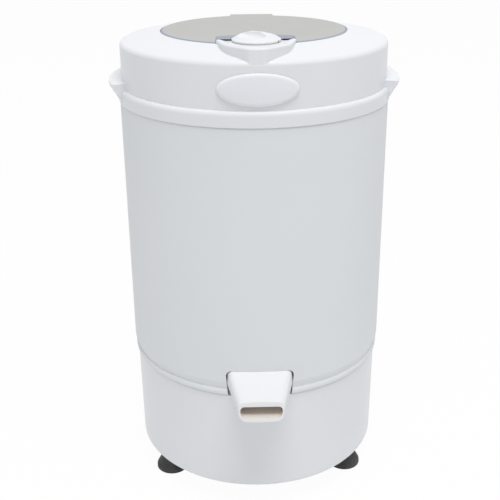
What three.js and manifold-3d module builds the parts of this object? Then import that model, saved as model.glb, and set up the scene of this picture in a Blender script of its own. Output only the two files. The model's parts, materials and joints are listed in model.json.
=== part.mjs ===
// Laundry spin dryer: a round cabinet on three rubber feet, with a perforated
// drum driven from below, a hinged lid panel, a turning lock knob that also
// works the brake, and a gravity drain spout at the front.
// Millimetres, +Z up, front towards -Y. Heights are counted from the floor.

import * as THREE from 'three';
import { mergeVertices } from 'three/addons/utils/BufferGeometryUtils.js';
import Module from 'manifold-3d';

const wasm = await Module();
wasm.setup();

// ---------------------------------------------------------------- sizes

// clearances
const SEAT_GAP = 0.3;
const RUN_GAP = 0.6;

// facet counts of the round pieces
const SHELL_FACETS = 36;
const DRUM_FACETS = 36;
const KNOB_FACETS = 30;
const MOTOR_FACETS = 20;
const SMALL_FACETS = 14;
const BOLT_FACETS = 12;
const BOLT_HOLE_FACETS = 8;

// cabinet
const BODY_RADIUS = 175;
const BODY_SHEET = 1.2;
const BODY_NECK_DEPTH = 3.4;
const BODY_NECK_HEIGHT = 12;
const BEAD_RADIUS = 4.6;
const BEAD_BULGE = 2.4;

// base housing and its floor
const BASE_FLOOR = 33;
const BASE_TOP = 175.4;
const BASE_DRAFT = 1.2;
const BASE_WALL = 3;
const BASE_EDGE = 5;
const BASE_RIM_WIDTH = 12;
const BASE_VENT_RADIUS = 62;
const DECK_WIDTH = 22;
const UPSTAND_HEIGHT = 11;
const UPSTAND_WALL = 2;
const BASE_BOSS_RADIUS = 12;
const BASE_BOSS_HEIGHT = 20;
const PILLAR_RADIUS = 12;
const VENT_SLOT_LENGTH = 34;
const VENT_SLOT_WIDTH = 6;
const VENT_SLOT_CIRCLE = 122;

// feet
const FOOT_COUNT = 3;
const FOOT_INSET = 25.1;
const FOOT_FIRST_ANGLE = 60;
const FOOT_TOP_RADIUS = 13.5;
const FOOT_BOTTOM_RADIUS = 21.5;
const FOOT_CUP_RADIUS = 15.5;
const FOOT_CUP_DEPTH = 5;
const FOOT_SCREW_RADIUS = 3;
const FOOT_SCREW_HEAD = 6;
const FOOT_SCREW_HEAD_HEIGHT = 4;

// top housing
const COLLAR_DEPTH = 86.1;
const COLLAR_OVERHANG = 1.2;
const COLLAR_HEIGHT = 19.2;
const COLLAR_DRAFT = 0.3;
const COLLAR_ROUND = 3.4;
const SKIRT_INSET = 3.2;
const SKIRT_WALL = 3;
const SHOULDER_ROUND = 10;
const TOP_RING_WIDTH = 52.2;
const RING_DROP = 0.8;
const RING_SLOPE = 0.19;
const RING_CURVE = 0.0028;
const RING_WALL = 3;
const SPIGOT_WALL = 2.3;
const SPIGOT_DEPTH = 18;
const SEAT_WIDTH = 24.6;
const SPLASH_WALL = 2.6;
const SPLASH_DEPTH = 46.5;
const TUB_RIB_WALL = 2.5;
const TUB_RIB_DEPTH = 56.5;

// carry grips
const GRIP_REACH = 11.8;
const GRIP_RISE = 9;
const GRIP_NOSE = 4.4;
const GRIP_LIFT = 3.1;
const GRIP_HALF_ANGLE = 19;
const GRIP_WALL = 3;

// badge
const BADGE_HALF_WIDTH = 47.6;
const BADGE_HALF_HEIGHT = 18.9;
const BADGE_LIFT = 24.4;
const BADGE_THICKNESS = 3.4;
const BADGE_BEVEL = 1.8;

// lid panel
const LID_TOP = 618.5;
const LID_THICKNESS = 3;
const LID_FLANGE_INSET = 2.4;
const LID_FLANGE_WALL = 2.2;
const LID_FLANGE_DEPTH = 8;
const LID_NOTCH_HALF_WIDTH = 47.8;
const LID_NOTCH_DEPTH = 42.5;
const LID_TAB_HALF_WIDTH = 30;
const LID_TAB_LENGTH = 20;

// lid hinge
const HINGE_OUTSET = 9.2;
const HINGE_DEPTH = 6.1;
const HINGE_BARREL_RADIUS = 5.6;
const HINGE_PIN_RADIUS = 2;
const HINGE_POCKET_WALL = 3;
const HINGE_POCKET_DEPTH = 16.5;

// knob boss and lock
const BOSS_RISE = 2;
const BOSS_HALF_WIDTH = 47.5;
const BOSS_CENTRE_INSET = 18.6;
const BOSS_REAR_INSET = 11.1;
const BOSS_FRONT_INSET = 12.3;
const BOSS_WALL = 3;
const BOSS_EDGE = 2.4;
const NECK_HALF_WIDTH = 12.5;
const NECK_DROP = 21;
const POCKET_DEPTH = 14.2;
const POCKET_SIDE = 2.6;
const POCKET_REAR_ROOM = 5;
const KNOB_INSET = 6;
const KNOB_RADIUS = 29;
const KNOB_HEIGHT = 10.6;
const KNOB_RIM = 2.4;
const KNOB_RIDGE_HALF_WIDTH = 3.6;
const KNOB_SCOOP_RADIUS = 12.4;
const KNOB_SCOOP_FLOOR = 2.6;
const KNOB_REST_ANGLE = -30;
const KNOB_SHAFT_RADIUS = 5;
const KNOB_SHAFT_DEPTH = 28.5;
const KNOB_SOCKET_DEPTH = 5;
const TONGUE_LENGTH = 42;
const TONGUE_HALF_WIDTH = 6;
const TONGUE_THICKNESS = 4;
const TONGUE_DEPTH = 10.1;
const TONGUE_REST_ANGLE = 150;
const TONGUE_SLOT_LEFT = 33;
const TONGUE_SLOT_RIGHT = 9;
const ARM_LENGTH = 16;
const ARM_THICKNESS = 4;
const ARM_REST_ANGLE = -60;

// drain spout
const SPOUT_LENGTH = 57;
const SPOUT_MOUTH_HALF_WIDTH = 29.2;
const SPOUT_MOUTH_FOOT_HALF_WIDTH = 27;
const SPOUT_MOUTH_LIFT = 2.3;
const SPOUT_MOUTH_HEIGHT = 23.4;
const SPOUT_ROOT_HALF_WIDTH = 39.4;
const SPOUT_ROOT_FOOT_HALF_WIDTH = 41.5;
const SPOUT_ROOT_LIFT = 10.6;
const SPOUT_ROOT_HEIGHT = 26.4;
const SPOUT_CROWN = 1.8;
const SPOUT_TOP_ROUND = 7;
const SPOUT_FOOT_ROUND = 8.5;
const SPOUT_SIDE_WALL = 2;
const SPOUT_TOP_WALL = 2.2;
const SPOUT_FLOOR_WALL = 7;
const SLOT_SIDE_MARGIN = 4.8;
const SLOT_TOP_MARGIN = 1.6;
const SLOT_ROUND = 8;

// water tub
const TUB_ROOM = 20.5;
const TUB_WALL = 2.5;
const TUB_DEPTH = 38.5;
const TUB_FLOOR_LIFT = 22.6;
const TUB_FLOOR_DISH = 7;
const TUB_CORNER = 6;
const TUB_NECK_RISE = 9;
const TUB_NECK_DROP = 14;
const TUB_NECK_RADIUS = 25.3;
const TUB_NECK_WALL = 2.7;
const TUB_SKIRT_WIDTH = 4.5;
const SEAL_HEIGHT = 12;
const SEAL_RIM = 2.7;
const SEAL_LIP = 2.2;

// drum
const DRUM_ROOM = 27.5;
const DRUM_WALL = 1;
const DRUM_LIFT = 21.3;
const DRUM_DEPTH = 62.5;
const DRUM_CORNER = 14;
const DRUM_LIP_WIDTH = 8;
const DRUM_RING_HEIGHT = 12;
const DRUM_RING_WIDTH = 23;
const DRUM_RING_ROUND = 4;
const HOLE_RADIUS = 3.2;
const HOLE_ROWS = 3;
const HOLES_PER_ROW = 12;
const HOLE_MARGIN = 50;
const HUB_RADIUS = 62;
const HUB_THICKNESS = 7;
const HUB_SKIRT_RADIUS = 35;
const HUB_SKIRT_DROP = 17.8;
const HUB_SKIRT_WALL = 3;

// shaft and motor
const SHAFT_RADIUS = 10;
const SHAFT_FOOT_DROP = 14;
const SHAFT_SHOULDER_DROP = 11.3;
const SHAFT_TOP_RISE = 17.7;
const SHAFT_THREAD_RADIUS = 8;
const NUT_RADIUS = 15;
const NUT_HEIGHT = 12;
const NUT_FLANGE_WIDTH = 6;
const PLATE_BOTTOM = 136;
const PLATE_THICKNESS = 3;
const PLATE_RADIUS = 118;
const PLATE_RIM = 5;
const PLATE_BORE = 24;
const PLATE_WINDOW_RADIUS = 14;
const PLATE_WINDOW_INSET = 26;
const MOTOR_RADIUS = 66;
const MOTOR_WALL = 3;
const MOTOR_BOTTOM = 64;
const MOTOR_CAP_THICKNESS = 5;
const MOTOR_FLANGE_RADIUS = 76;
const MOTOR_FLANGE_THICKNESS = 4;
const BEARING_RADIUS = 17;
const BEARING_HEIGHT = 10;
const BEARING_HUB_WALL = 3;
const CORE_LIFT = 12;
const CORE_DROP = 22;
const CORE_STEP = 4;
const WINDING_HEIGHT = 8;
const AIR_GAP_RADIUS = 40;
const MOUNT_INSET = 18;
const MOUNT_HEIGHT = 18;
const MOUNT_RADIUS = 14;
const MOUNT_WAIST = 10;
const MOUNT_FLANGE = 4;
const MOUNT_BOLT_RADIUS = 3;
const MOUNT_BOLT_DEPTH = 16;
const MOUNT_BOLT_HEAD_RADIUS = 6.5;
const MOUNT_BOLT_HEAD_HEIGHT = 5;

// brake
const BRAKE_DISC_RADIUS = 45;
const BRAKE_DISC_LIFT = 6;
const BRAKE_DISC_HEIGHT = 13;
const BRAKE_DISC_WALL = 4;
const BRAKE_DISC_HUB = 6;
const LEVER_OUTSET = 18;
const LEVER_PIVOT_Y = 24;
const LEVER_END_Y = -52;
const LEVER_LIFT = 9;
const LEVER_THICKNESS = 6;
const LEVER_HALF_WIDTH = 5;
const PAD_HALF_LENGTH = 9;
const PIVOT_RADIUS = 4;
const PIVOT_HEAD_RADIUS = 7;
const SPRING_CURLS = 5;
const SPRING_RADIUS = 7.6;
const SPRING_PITCH = 2.6;
const SPRING_WIRE = 0.8;
const CLIP_ANGLE = 50;
const CLIP_INNER_INSET = 20;
const CLIP_OUTER_INSET = 10;
const CLIP_HALF_WIDTH = 6;
const CLIP_HEIGHT = 13;

// cable
const CABLE_RADIUS = 2.5;
const CABLE_STEPS = 32;
const CABLE_WALL_ROOM = 8.8;
const CABLE_HOLE_ROOM = 5;
const CABLE_CROSSING_INSET = 18.8;
const CABLE_CROSSING_ANGLE = 20;
const CABLE_BEND = 14;
const DECK_HOLE_INSET = 12.8;

// electrical pieces
const CAPACITOR_RADIUS = 20;
const CAPACITOR_HEIGHT = 70;
const CAPACITOR_INSET = 42.1;
const CAPACITOR_ANGLE = 150;
const GLAND_RADIUS = 7;
const GLAND_FLANGE_RADIUS = 10;
const GLAND_BORE = 4;
const GLAND_LIFT = 37;
const SWITCH_LENGTH = 17;
const SWITCH_WIDTH = 12;
const SWITCH_HEIGHT = 9;

// sizes that follow from the ones above: plan
const BODY_INNER = BODY_RADIUS - BODY_SHEET;
const BODY_NECK_RADIUS = BODY_RADIUS - BODY_NECK_DEPTH;
const BASE_TOP_RADIUS = BODY_NECK_RADIUS - SEAT_GAP;
const BASE_BOTTOM_RADIUS = BASE_TOP_RADIUS - BASE_DRAFT;
const FOOT_CIRCLE = BASE_BOTTOM_RADIUS - FOOT_INSET;
const COLLAR_RADIUS = BODY_RADIUS + COLLAR_OVERHANG;
const GRIP_RADIUS = COLLAR_RADIUS + GRIP_REACH;
const SKIRT_RADIUS = BODY_RADIUS - SKIRT_INSET;
const RING_EDGE = SKIRT_RADIUS - TOP_RING_WIDTH;
const LID_RADIUS = RING_EDGE - RUN_GAP;
const MOUTH_RADIUS = RING_EDGE - SEAT_WIDTH;
const NOTCH_REAR_Y = LID_NOTCH_DEPTH - LID_RADIUS;
const HINGE_Y = LID_RADIUS + HINGE_OUTSET;
const BARREL_HALF_LENGTH = LID_TAB_HALF_WIDTH;
const HINGE_POCKET_HALF_WIDTH = BARREL_HALF_LENGTH + 2;
const BOSS_CENTRE_Y = BOSS_CENTRE_INSET - RING_EDGE;
const BOSS_REAR_Y = BOSS_REAR_INSET - RING_EDGE;
const BOSS_REACH = SKIRT_RADIUS - BOSS_FRONT_INSET + BOSS_CENTRE_Y;
const KNOB_Y = KNOB_INSET - LID_RADIUS;
const SPOUT_REACH = BODY_RADIUS + SPOUT_LENGTH;
const SLOT_HALF_WIDTH = SPOUT_ROOT_HALF_WIDTH + SLOT_SIDE_MARGIN;
const TUB_RADIUS = BODY_RADIUS - TUB_ROOM;
const DRUM_RADIUS = TUB_RADIUS - DRUM_ROOM;
const DRUM_MOUTH_RADIUS = DRUM_RADIUS - DRUM_RING_WIDTH;
const CORE_OUTER = MOTOR_RADIUS - MOTOR_WALL - SEAT_GAP;
const MOUNT_CIRCLE = PLATE_RADIUS - MOUNT_INSET;
const PLATE_WINDOW_CIRCLE = PLATE_RADIUS - PLATE_WINDOW_INSET;
const CLIP_INNER = PLATE_RADIUS - CLIP_INNER_INSET;
const CLIP_OUTER = PLATE_RADIUS - CLIP_OUTER_INSET;
const LEVER_X = BRAKE_DISC_RADIUS + LEVER_OUTSET;
const CABLE_CIRCLE = BODY_INNER - CABLE_WALL_ROOM;
const CABLE_CROSSING_RADIUS = BODY_INNER - CABLE_CROSSING_INSET;
const DECK_HOLE_CIRCLE = BASE_TOP_RADIUS - DECK_HOLE_INSET;
const CAPACITOR_CIRCLE = BASE_BOTTOM_RADIUS - CAPACITOR_INSET;
const AXIS_OFFSET = (SPOUT_REACH - COLLAR_RADIUS) / 2;

// sizes that follow from the ones above: heights
const BODY_BOTTOM = BASE_TOP + SEAT_GAP;
const COLLAR_BOTTOM = LID_TOP - COLLAR_DEPTH;
const COLLAR_RIM = COLLAR_BOTTOM + COLLAR_HEIGHT;
const BODY_TOP = COLLAR_BOTTOM - SEAT_GAP;
const SEAT_LEVEL = LID_TOP - LID_THICKNESS - SEAT_GAP;
const SPLASH_BOTTOM = LID_TOP - SPLASH_DEPTH;
const TUB_RIB_BOTTOM = LID_TOP - TUB_RIB_DEPTH;
const GRIP_TOP = COLLAR_RIM + GRIP_RISE;
const GRIP_FOOT = COLLAR_BOTTOM + GRIP_LIFT;
const BADGE_HEIGHT = COLLAR_RIM + BADGE_LIFT;
const HINGE_Z = LID_TOP - HINGE_DEPTH;
const HINGE_POCKET_FLOOR = LID_TOP - HINGE_POCKET_DEPTH;
const BOSS_TOP = LID_TOP + BOSS_RISE;
const POCKET_FLOOR = LID_TOP - POCKET_DEPTH;
const KNOB_SHAFT_BOTTOM = LID_TOP - KNOB_SHAFT_DEPTH;
const TONGUE_BOTTOM = LID_TOP - TONGUE_DEPTH;
const SPOUT_MOUTH_BOTTOM = BASE_TOP + SPOUT_MOUTH_LIFT;
const SPOUT_MOUTH_TOP = SPOUT_MOUTH_BOTTOM + SPOUT_MOUTH_HEIGHT;
const SPOUT_ROOT_BOTTOM = BASE_TOP + SPOUT_ROOT_LIFT;
const SPOUT_ROOT_TOP = SPOUT_ROOT_BOTTOM + SPOUT_ROOT_HEIGHT;
const SLOT_TOP = SPOUT_ROOT_TOP + SLOT_TOP_MARGIN;
const TUB_TOP = LID_TOP - TUB_DEPTH;
const TUB_FLOOR_OUTER = BASE_TOP + TUB_FLOOR_LIFT;
const TUB_FLOOR_INNER = TUB_FLOOR_OUTER + TUB_FLOOR_DISH;
const TUB_NECK_TOP = TUB_FLOOR_INNER + TUB_NECK_RISE;
const DRUM_BOTTOM = TUB_FLOOR_INNER + DRUM_LIFT;
const DRUM_TOP = LID_TOP - DRUM_DEPTH;
const DRUM_SEAM = DRUM_BOTTOM + DRUM_CORNER + DRUM_WALL;
const HUB_SKIRT_BOTTOM = DRUM_BOTTOM - HUB_SKIRT_DROP;
const SHAFT_BOTTOM = MOTOR_BOTTOM - SHAFT_FOOT_DROP;
const SHAFT_SHOULDER = DRUM_BOTTOM - SHAFT_SHOULDER_DROP;
const SHAFT_TOP = DRUM_BOTTOM + SHAFT_TOP_RISE;
const PLATE_TOP = PLATE_BOTTOM + PLATE_THICKNESS;
const PILLAR_TOP = PLATE_BOTTOM - MOUNT_HEIGHT;
const CORE_BOTTOM = MOTOR_BOTTOM + CORE_LIFT;
const CORE_TOP = PLATE_BOTTOM - CORE_DROP;
const BRAKE_DISC_BOTTOM = PLATE_TOP + BRAKE_DISC_LIFT;
const BRAKE_DISC_TOP = BRAKE_DISC_BOTTOM + BRAKE_DISC_HEIGHT;
const LEVER_BOTTOM = PLATE_TOP + LEVER_LIFT;
const GLAND_HEIGHT = BASE_FLOOR + GLAND_LIFT;

// ---------------------------------------------------------------- helpers

const FAR = 400;

// A closed solid from a geometry, with its faces turned outwards.
function solid(geometry) {
  const bare = new THREE.BufferGeometry();
  bare.setAttribute('position', geometry.getAttribute('position').clone());
  const count = bare.getAttribute('position').count;
  bare.setIndex(geometry.index ? geometry.index.clone() : [...Array(count).keys()]);
  const welded = mergeVertices(bare, 1e-4);
  const positions = welded.getAttribute('position').array;
  const corners = welded.index.array;
  const kept = [];
  for (let i = 0; i < corners.length; i += 3) {
    const [a, b, c] = [corners[i], corners[i + 1], corners[i + 2]];
    if (a !== b && b !== c && c !== a) {
      kept.push(a, b, c);
    }
  }
  if (signedVolume(positions, kept) < 0) {
    for (let i = 0; i < kept.length; i += 3) {
      [kept[i + 1], kept[i + 2]] = [kept[i + 2], kept[i + 1]];
    }
  }
  return new wasm.Manifold(new wasm.Mesh({
    numProp: 3,
    vertProperties: new Float32Array(positions),
    triVerts: new Uint32Array(kept),
  }));
}

function signedVolume(positions, triangles) {
  const [a, b, c] = [new THREE.Vector3(), new THREE.Vector3(), new THREE.Vector3()];
  let total = 0;
  for (let i = 0; i < triangles.length; i += 3) {
    a.fromArray(positions, 3 * triangles[i]);
    b.fromArray(positions, 3 * triangles[i + 1]);
    c.fromArray(positions, 3 * triangles[i + 2]);
    total += a.dot(b.cross(c)) / 6;
  }
  return total;
}

function geometryOf(manifold) {
  const mesh = manifold.getMesh();
  const geometry = new THREE.BufferGeometry();
  geometry.setAttribute('position', new THREE.BufferAttribute(mesh.vertProperties, 3));
  geometry.setIndex(new THREE.BufferAttribute(mesh.triVerts, 1));
  geometry.computeVertexNormals();
  return geometry;
}

function join(first, ...others) {
  return others.reduce((sum, other) => sum.add(other), first);
}

function cut(first, ...others) {
  return others.reduce((rest, other) => rest.subtract(other), first);
}

// A closed outline from corners [x, y, fillet radius, steps in the fillet].
function rounded(corners) {
  const points = [];
  corners.forEach(([x, y, fillet = 0, steps = 2], i) => {
    const here = new THREE.Vector2(x, y);
    if (fillet === 0) {
      points.push(here);
      return;
    }
    const [bx, by] = corners.at(i - 1);
    const [ax, ay] = corners[(i + 1) % corners.length];
    const toBefore = new THREE.Vector2(bx, by).sub(here).normalize();
    const toAfter = new THREE.Vector2(ax, ay).sub(here).normalize();
    const half = Math.acos(THREE.MathUtils.clamp(toBefore.dot(toAfter), -1, 1)) / 2;
    const bisector = toBefore.clone().add(toAfter).normalize();
    const centre = here.clone().addScaledVector(bisector, fillet / Math.sin(half));
    const start = here.clone().addScaledVector(toBefore, fillet / Math.tan(half)).sub(centre);
    const end = here.clone().addScaledVector(toAfter, fillet / Math.tan(half)).sub(centre);
    const sweep = Math.atan2(start.cross(end), start.dot(end));
    for (let step = 0; step <= steps; step += 1) {
      const angle = start.angle() + (sweep * step) / steps;
      const arm = new THREE.Vector2(Math.cos(angle), Math.sin(angle)).multiplyScalar(fillet);
      points.push(arm.add(centre));
    }
  });
  return points;
}

// A closed profile [radius, height] turned about the Z axis.
function revolve(outline, facets = MOTOR_FACETS) {
  const geometry = new THREE.LatheGeometry([...outline, outline[0]], facets);
  geometry.rotateX(Math.PI / 2);
  return solid(geometry);
}

function ring(inner, outer, bottom, top, facets = MOTOR_FACETS) {
  return revolve(rounded([[inner, bottom], [outer, bottom], [outer, top], [inner, top]]), facets);
}

function disc(radius, bottom, top, facets = MOTOR_FACETS) {
  return ring(0, radius, bottom, top, facets);
}

function box(x0, x1, y0, y1, z0, z1) {
  const geometry = new THREE.BoxGeometry(x1 - x0, y1 - y0, z1 - z0);
  geometry.translate((x0 + x1) / 2, (y0 + y1) / 2, (z0 + z1) / 2);
  return solid(geometry);
}

// A plan outline made into a slab between two heights.
function slab(outline, bottom, top) {
  const shape = new THREE.Shape(outline);
  const geometry = new THREE.ExtrudeGeometry(shape, { depth: top - bottom, bevelEnabled: false });
  geometry.translate(0, 0, bottom);
  return solid(geometry);
}

// A round rod along X, with its middle at x = 0.
function rodAlongX(radius, halfLength, y, z, facets = SMALL_FACETS) {
  const geometry = new THREE.CylinderGeometry(radius, radius, 2 * halfLength, facets);
  geometry.rotateZ(Math.PI / 2);
  geometry.translate(0, y, z);
  return solid(geometry);
}

// A skin over sections that all have the same number of points.
function loft(sections) {
  const count = sections[0].length;
  const positions = [];
  sections.forEach((section) => section.forEach((point) => positions.push(...point.toArray())));
  const triangles = [];
  for (let s = 0; s < sections.length - 1; s += 1) {
    for (let i = 0; i < count; i += 1) {
      const next = (i + 1) % count;
      const [a, b] = [s * count + i, s * count + next];
      triangles.push(a, b, b + count, a, b + count, a + count);
    }
  }
  [0, sections.length - 1].forEach((end) => {
    const centre = new THREE.Vector3();
    sections[end].forEach((point) => centre.add(point));
    centre.divideScalar(count);
    const middle = positions.length / 3;
    positions.push(...centre.toArray());
    for (let i = 0; i < count; i += 1) {
      const pair = [end * count + i, end * count + ((i + 1) % count)];
      triangles.push(middle, ...(end === 0 ? pair.reverse() : pair));
    }
  });
  const geometry = new THREE.BufferGeometry();
  geometry.setAttribute('position', new THREE.Float32BufferAttribute(positions, 3));
  geometry.setIndex(triangles);
  return solid(geometry);
}

// The point on a circle round the axis, its angle in degrees from the front
// towards +X.
function around(radius, degrees, height = 0) {
  const angle = THREE.MathUtils.degToRad(degrees);
  return new THREE.Vector3(radius * Math.sin(angle), -radius * Math.cos(angle), height);
}

function moved(manifold, point) {
  return manifold.translate([point.x, point.y, point.z]);
}

// A round hole through everything along Z.
function hole(radius, point, facets = SMALL_FACETS) {
  return moved(disc(radius, -FAR, 2 * FAR, facets), new THREE.Vector3(point.x, point.y, 0));
}

// The upright wedge of space between two directions from the axis, either
// side of +X.
function sector(halfAngle) {
  const angle = THREE.MathUtils.degToRad(halfAngle);
  const corner = [FAR * Math.cos(angle), FAR * Math.sin(angle)];
  return slab(rounded([[0, 0], [corner[0], -corner[1]], [corner[0], corner[1]]]), 0, 2 * FAR);
}

const model = new THREE.Group();

function add(name, manifold, colour, roughness, metalness = 0) {
  const material = new THREE.MeshStandardMaterial({ color: colour, roughness, metalness });
  const mesh = new THREE.Mesh(geometryOf(manifold), material);
  mesh.name = name;
  model.add(mesh);
  return mesh;
}

const WHITE_PLASTIC = 0xe9eaec;
const WHITE_PAINT = 0xdde2e4;
const SMOKED = 0xc4c4c2;
const BLACK_RUBBER = 0x2c2c2e;
const STEEL = 0xb4b7ba;
const CAST_ALUMINIUM = 0xa2a5a8;
const DARK_PLASTIC = 0x3a3c40;

// ---------------------------------------------------------------- base

const feetAngles = Array.from({ length: FOOT_COUNT }, (_, i) => FOOT_FIRST_ANGLE + (i * 360) / FOOT_COUNT);
const mountAngles = feetAngles.map((angle) => angle + 60);

function baseHousing() {
  const innerTop = BASE_TOP_RADIUS - BASE_WALL;
  const innerBottom = BASE_BOTTOM_RADIUS - BASE_WALL;
  const deckInner = innerTop - DECK_WIDTH;
  const deckBottom = BASE_TOP - BASE_WALL;
  const upstandOuter = BODY_NECK_RADIUS - BODY_SHEET - SEAT_GAP;
  const floorTop = BASE_FLOOR + BASE_WALL;
  const shell = revolve(rounded([
    [BASE_BOTTOM_RADIUS - BASE_RIM_WIDTH, BASE_FLOOR],
    [BASE_BOTTOM_RADIUS, BASE_FLOOR, BASE_EDGE],
    [BASE_TOP_RADIUS, BASE_TOP],
    [upstandOuter, BASE_TOP],
    [upstandOuter, BASE_TOP + UPSTAND_HEIGHT],
    [upstandOuter - UPSTAND_WALL, BASE_TOP + UPSTAND_HEIGHT],
    [upstandOuter - UPSTAND_WALL, BASE_TOP],
    [deckInner, BASE_TOP],
    [deckInner, deckBottom],
    [innerTop, deckBottom],
    [innerBottom, floorTop],
    [BASE_BOTTOM_RADIUS - BASE_RIM_WIDTH, floorTop],
  ]), SHELL_FACETS);
  const spoutGap = box(-SLOT_HALF_WIDTH, SLOT_HALF_WIDTH, -FAR, -deckInner, BASE_TOP, FAR);
  const glandHole = rodAlongX(GLAND_RADIUS + SEAT_GAP, 30, 0, GLAND_HEIGHT)
    .rotate([0, 0, 90]).translate([0, BASE_BOTTOM_RADIUS, 0]);
  const cableHole = hole(CABLE_RADIUS + 3, around(DECK_HOLE_CIRCLE, CLIP_ANGLE));
  return cut(
    shell,
    spoutGap,
    glandHole,
    cableHole.intersect(box(0, FAR, -FAR, 0, deckBottom - 1, FAR)),
  );
}

// The floor that closes the base from below, with the feet's bosses, the
// pillars of the motor plate and the air vents. It lies inside the rim.
function baseFloor() {
  const outer = BASE_BOTTOM_RADIUS - BASE_RIM_WIDTH - SEAT_GAP;
  const plate = ring(BASE_VENT_RADIUS, outer, BASE_FLOOR, BASE_FLOOR + BASE_WALL, SHELL_FACETS);
  const footBosses = feetAngles.map((angle) => moved(
    disc(BASE_BOSS_RADIUS, 0, BASE_BOSS_HEIGHT, SMALL_FACETS),
    around(FOOT_CIRCLE, angle, BASE_FLOOR),
  ));
  const pillars = mountAngles.map((angle) => moved(loft([
    circlePoints(PILLAR_RADIUS + 4, BASE_FLOOR),
    circlePoints(PILLAR_RADIUS, PILLAR_TOP),
  ]), around(MOUNT_CIRCLE, angle)));
  const screwHoles = feetAngles.map((angle) => moved(
    disc(FOOT_SCREW_RADIUS + SEAT_GAP, -1, BASE_BOSS_HEIGHT - BASE_WALL, BOLT_HOLE_FACETS),
    around(FOOT_CIRCLE, angle, BASE_FLOOR),
  ));
  const boltHoles = mountAngles.map((angle) => moved(
    disc(MOUNT_BOLT_RADIUS + SEAT_GAP, -MOUNT_BOLT_DEPTH - 4, 1, BOLT_HOLE_FACETS),
    around(MOUNT_CIRCLE, angle, PILLAR_TOP),
  ));
  return cut(join(plate, ...footBosses, ...pillars), ...screwHoles, ...boltHoles, ...ventSlots());
}

function circlePoints(radius, height, facets = SMALL_FACETS) {
  return Array.from({ length: facets }, (_, i) => {
    const angle = (2 * Math.PI * i) / facets;
    return new THREE.Vector3(radius * Math.cos(angle), radius * Math.sin(angle), height);
  });
}

// Air slots in the floor, in fans between the feet.
function ventSlots() {
  const halfWidth = VENT_SLOT_WIDTH / 2;
  const halfLength = VENT_SLOT_LENGTH / 2;
  return mountAngles.flatMap((middle) => [-24, -12, 12, 24].map((turn) => {
    const slot = box(-halfWidth, halfWidth, -halfLength, halfLength, -1, BASE_WALL + 1);
    return moved(slot.rotate([0, 0, middle + turn]), around(VENT_SLOT_CIRCLE, middle + turn, BASE_FLOOR));
  }));
}

function foot() {
  const headSeat = FOOT_CUP_DEPTH + 8;
  return revolve(rounded([
    [FOOT_SCREW_RADIUS + SEAT_GAP, headSeat],
    [FOOT_SCREW_HEAD + 1, headSeat],
    [FOOT_SCREW_HEAD + 1, FOOT_CUP_DEPTH],
    [FOOT_CUP_RADIUS, 0],
    [FOOT_BOTTOM_RADIUS, 0],
    [FOOT_BOTTOM_RADIUS, 5, 3, 1],
    [FOOT_TOP_RADIUS, BASE_FLOOR - 12, 6, 1],
    [FOOT_TOP_RADIUS, BASE_FLOOR - SEAT_GAP],
    [FOOT_SCREW_RADIUS + SEAT_GAP, BASE_FLOOR - SEAT_GAP],
  ]), SMALL_FACETS);
}

function footScrew() {
  const headTop = FOOT_CUP_DEPTH + 8 - SEAT_GAP;
  const head = disc(FOOT_SCREW_HEAD, headTop - FOOT_SCREW_HEAD_HEIGHT, headTop, BOLT_FACETS);
  const shankTop = BASE_FLOOR + BASE_BOSS_HEIGHT - BASE_WALL - 1;
  const shank = disc(FOOT_SCREW_RADIUS, headTop - 1, shankTop, BOLT_FACETS);
  return join(head, shank);
}

// ---------------------------------------------------------------- body shell

// A polyline given a thickness towards the axis.
function thicken(line, thickness) {
  const inner = line.map((point, i) => {
    const before = line[Math.max(i - 1, 0)];
    const after = line[Math.min(i + 1, line.length - 1)];
    const along = after.clone().sub(before).normalize();
    return new THREE.Vector2(point.x - along.y * thickness, point.y + along.x * thickness);
  });
  inner[0].y = line[0].y;
  inner.at(-1).y = line.at(-1).y;
  return [...line, ...inner.reverse()];
}

function bodyShell() {
  const beadMiddle = BODY_BOTTOM + BEAD_RADIUS;
  const line = [];
  const beadSteps = 4;
  for (let step = 0; step <= beadSteps; step += 1) {
    const angle = -Math.PI / 2 + (Math.PI * step) / beadSteps;
    line.push(new THREE.Vector2(
      BODY_NECK_RADIUS + BEAD_BULGE * Math.cos(angle),
      beadMiddle + BEAD_RADIUS * Math.sin(angle),
    ));
  }
  const neckBottom = BODY_BOTTOM + 2 * BEAD_RADIUS;
  const neckSteps = 2;
  for (let step = 1; step <= neckSteps; step += 1) {
    const share = step / neckSteps;
    const swell = (1 - Math.cos(Math.PI * share)) / 2;
    line.push(new THREE.Vector2(
      BODY_NECK_RADIUS + (BODY_RADIUS - BODY_NECK_RADIUS) * swell,
      neckBottom + BODY_NECK_HEIGHT * share,
    ));
  }
  line.push(new THREE.Vector2(BODY_RADIUS, BODY_TOP));
  const shell = revolve(thicken(line, BODY_SHEET), SHELL_FACETS);
  const slotOutline = rounded([
    [-SLOT_HALF_WIDTH, 0],
    [SLOT_HALF_WIDTH, 0],
    [SLOT_HALF_WIDTH, SLOT_TOP, SLOT_ROUND],
    [SLOT_HALF_WIDTH / 2, SLOT_TOP + SPOUT_CROWN * 0.8],
    [0, SLOT_TOP + SPOUT_CROWN],
    [-SLOT_HALF_WIDTH / 2, SLOT_TOP + SPOUT_CROWN * 0.8],
    [-SLOT_HALF_WIDTH, SLOT_TOP, SLOT_ROUND],
  ]);
  const slot = slab(slotOutline, 0, FAR).rotate([90, 0, 0]);
  return cut(shell, slot);
}

// ---------------------------------------------------------------- top housing

// The ring's height, which falls faster towards the shoulder.
function ringTop(radius) {
  const out = radius - RING_EDGE;
  return LID_TOP - RING_DROP - RING_SLOPE * out - RING_CURVE * out * out;
}

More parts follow.
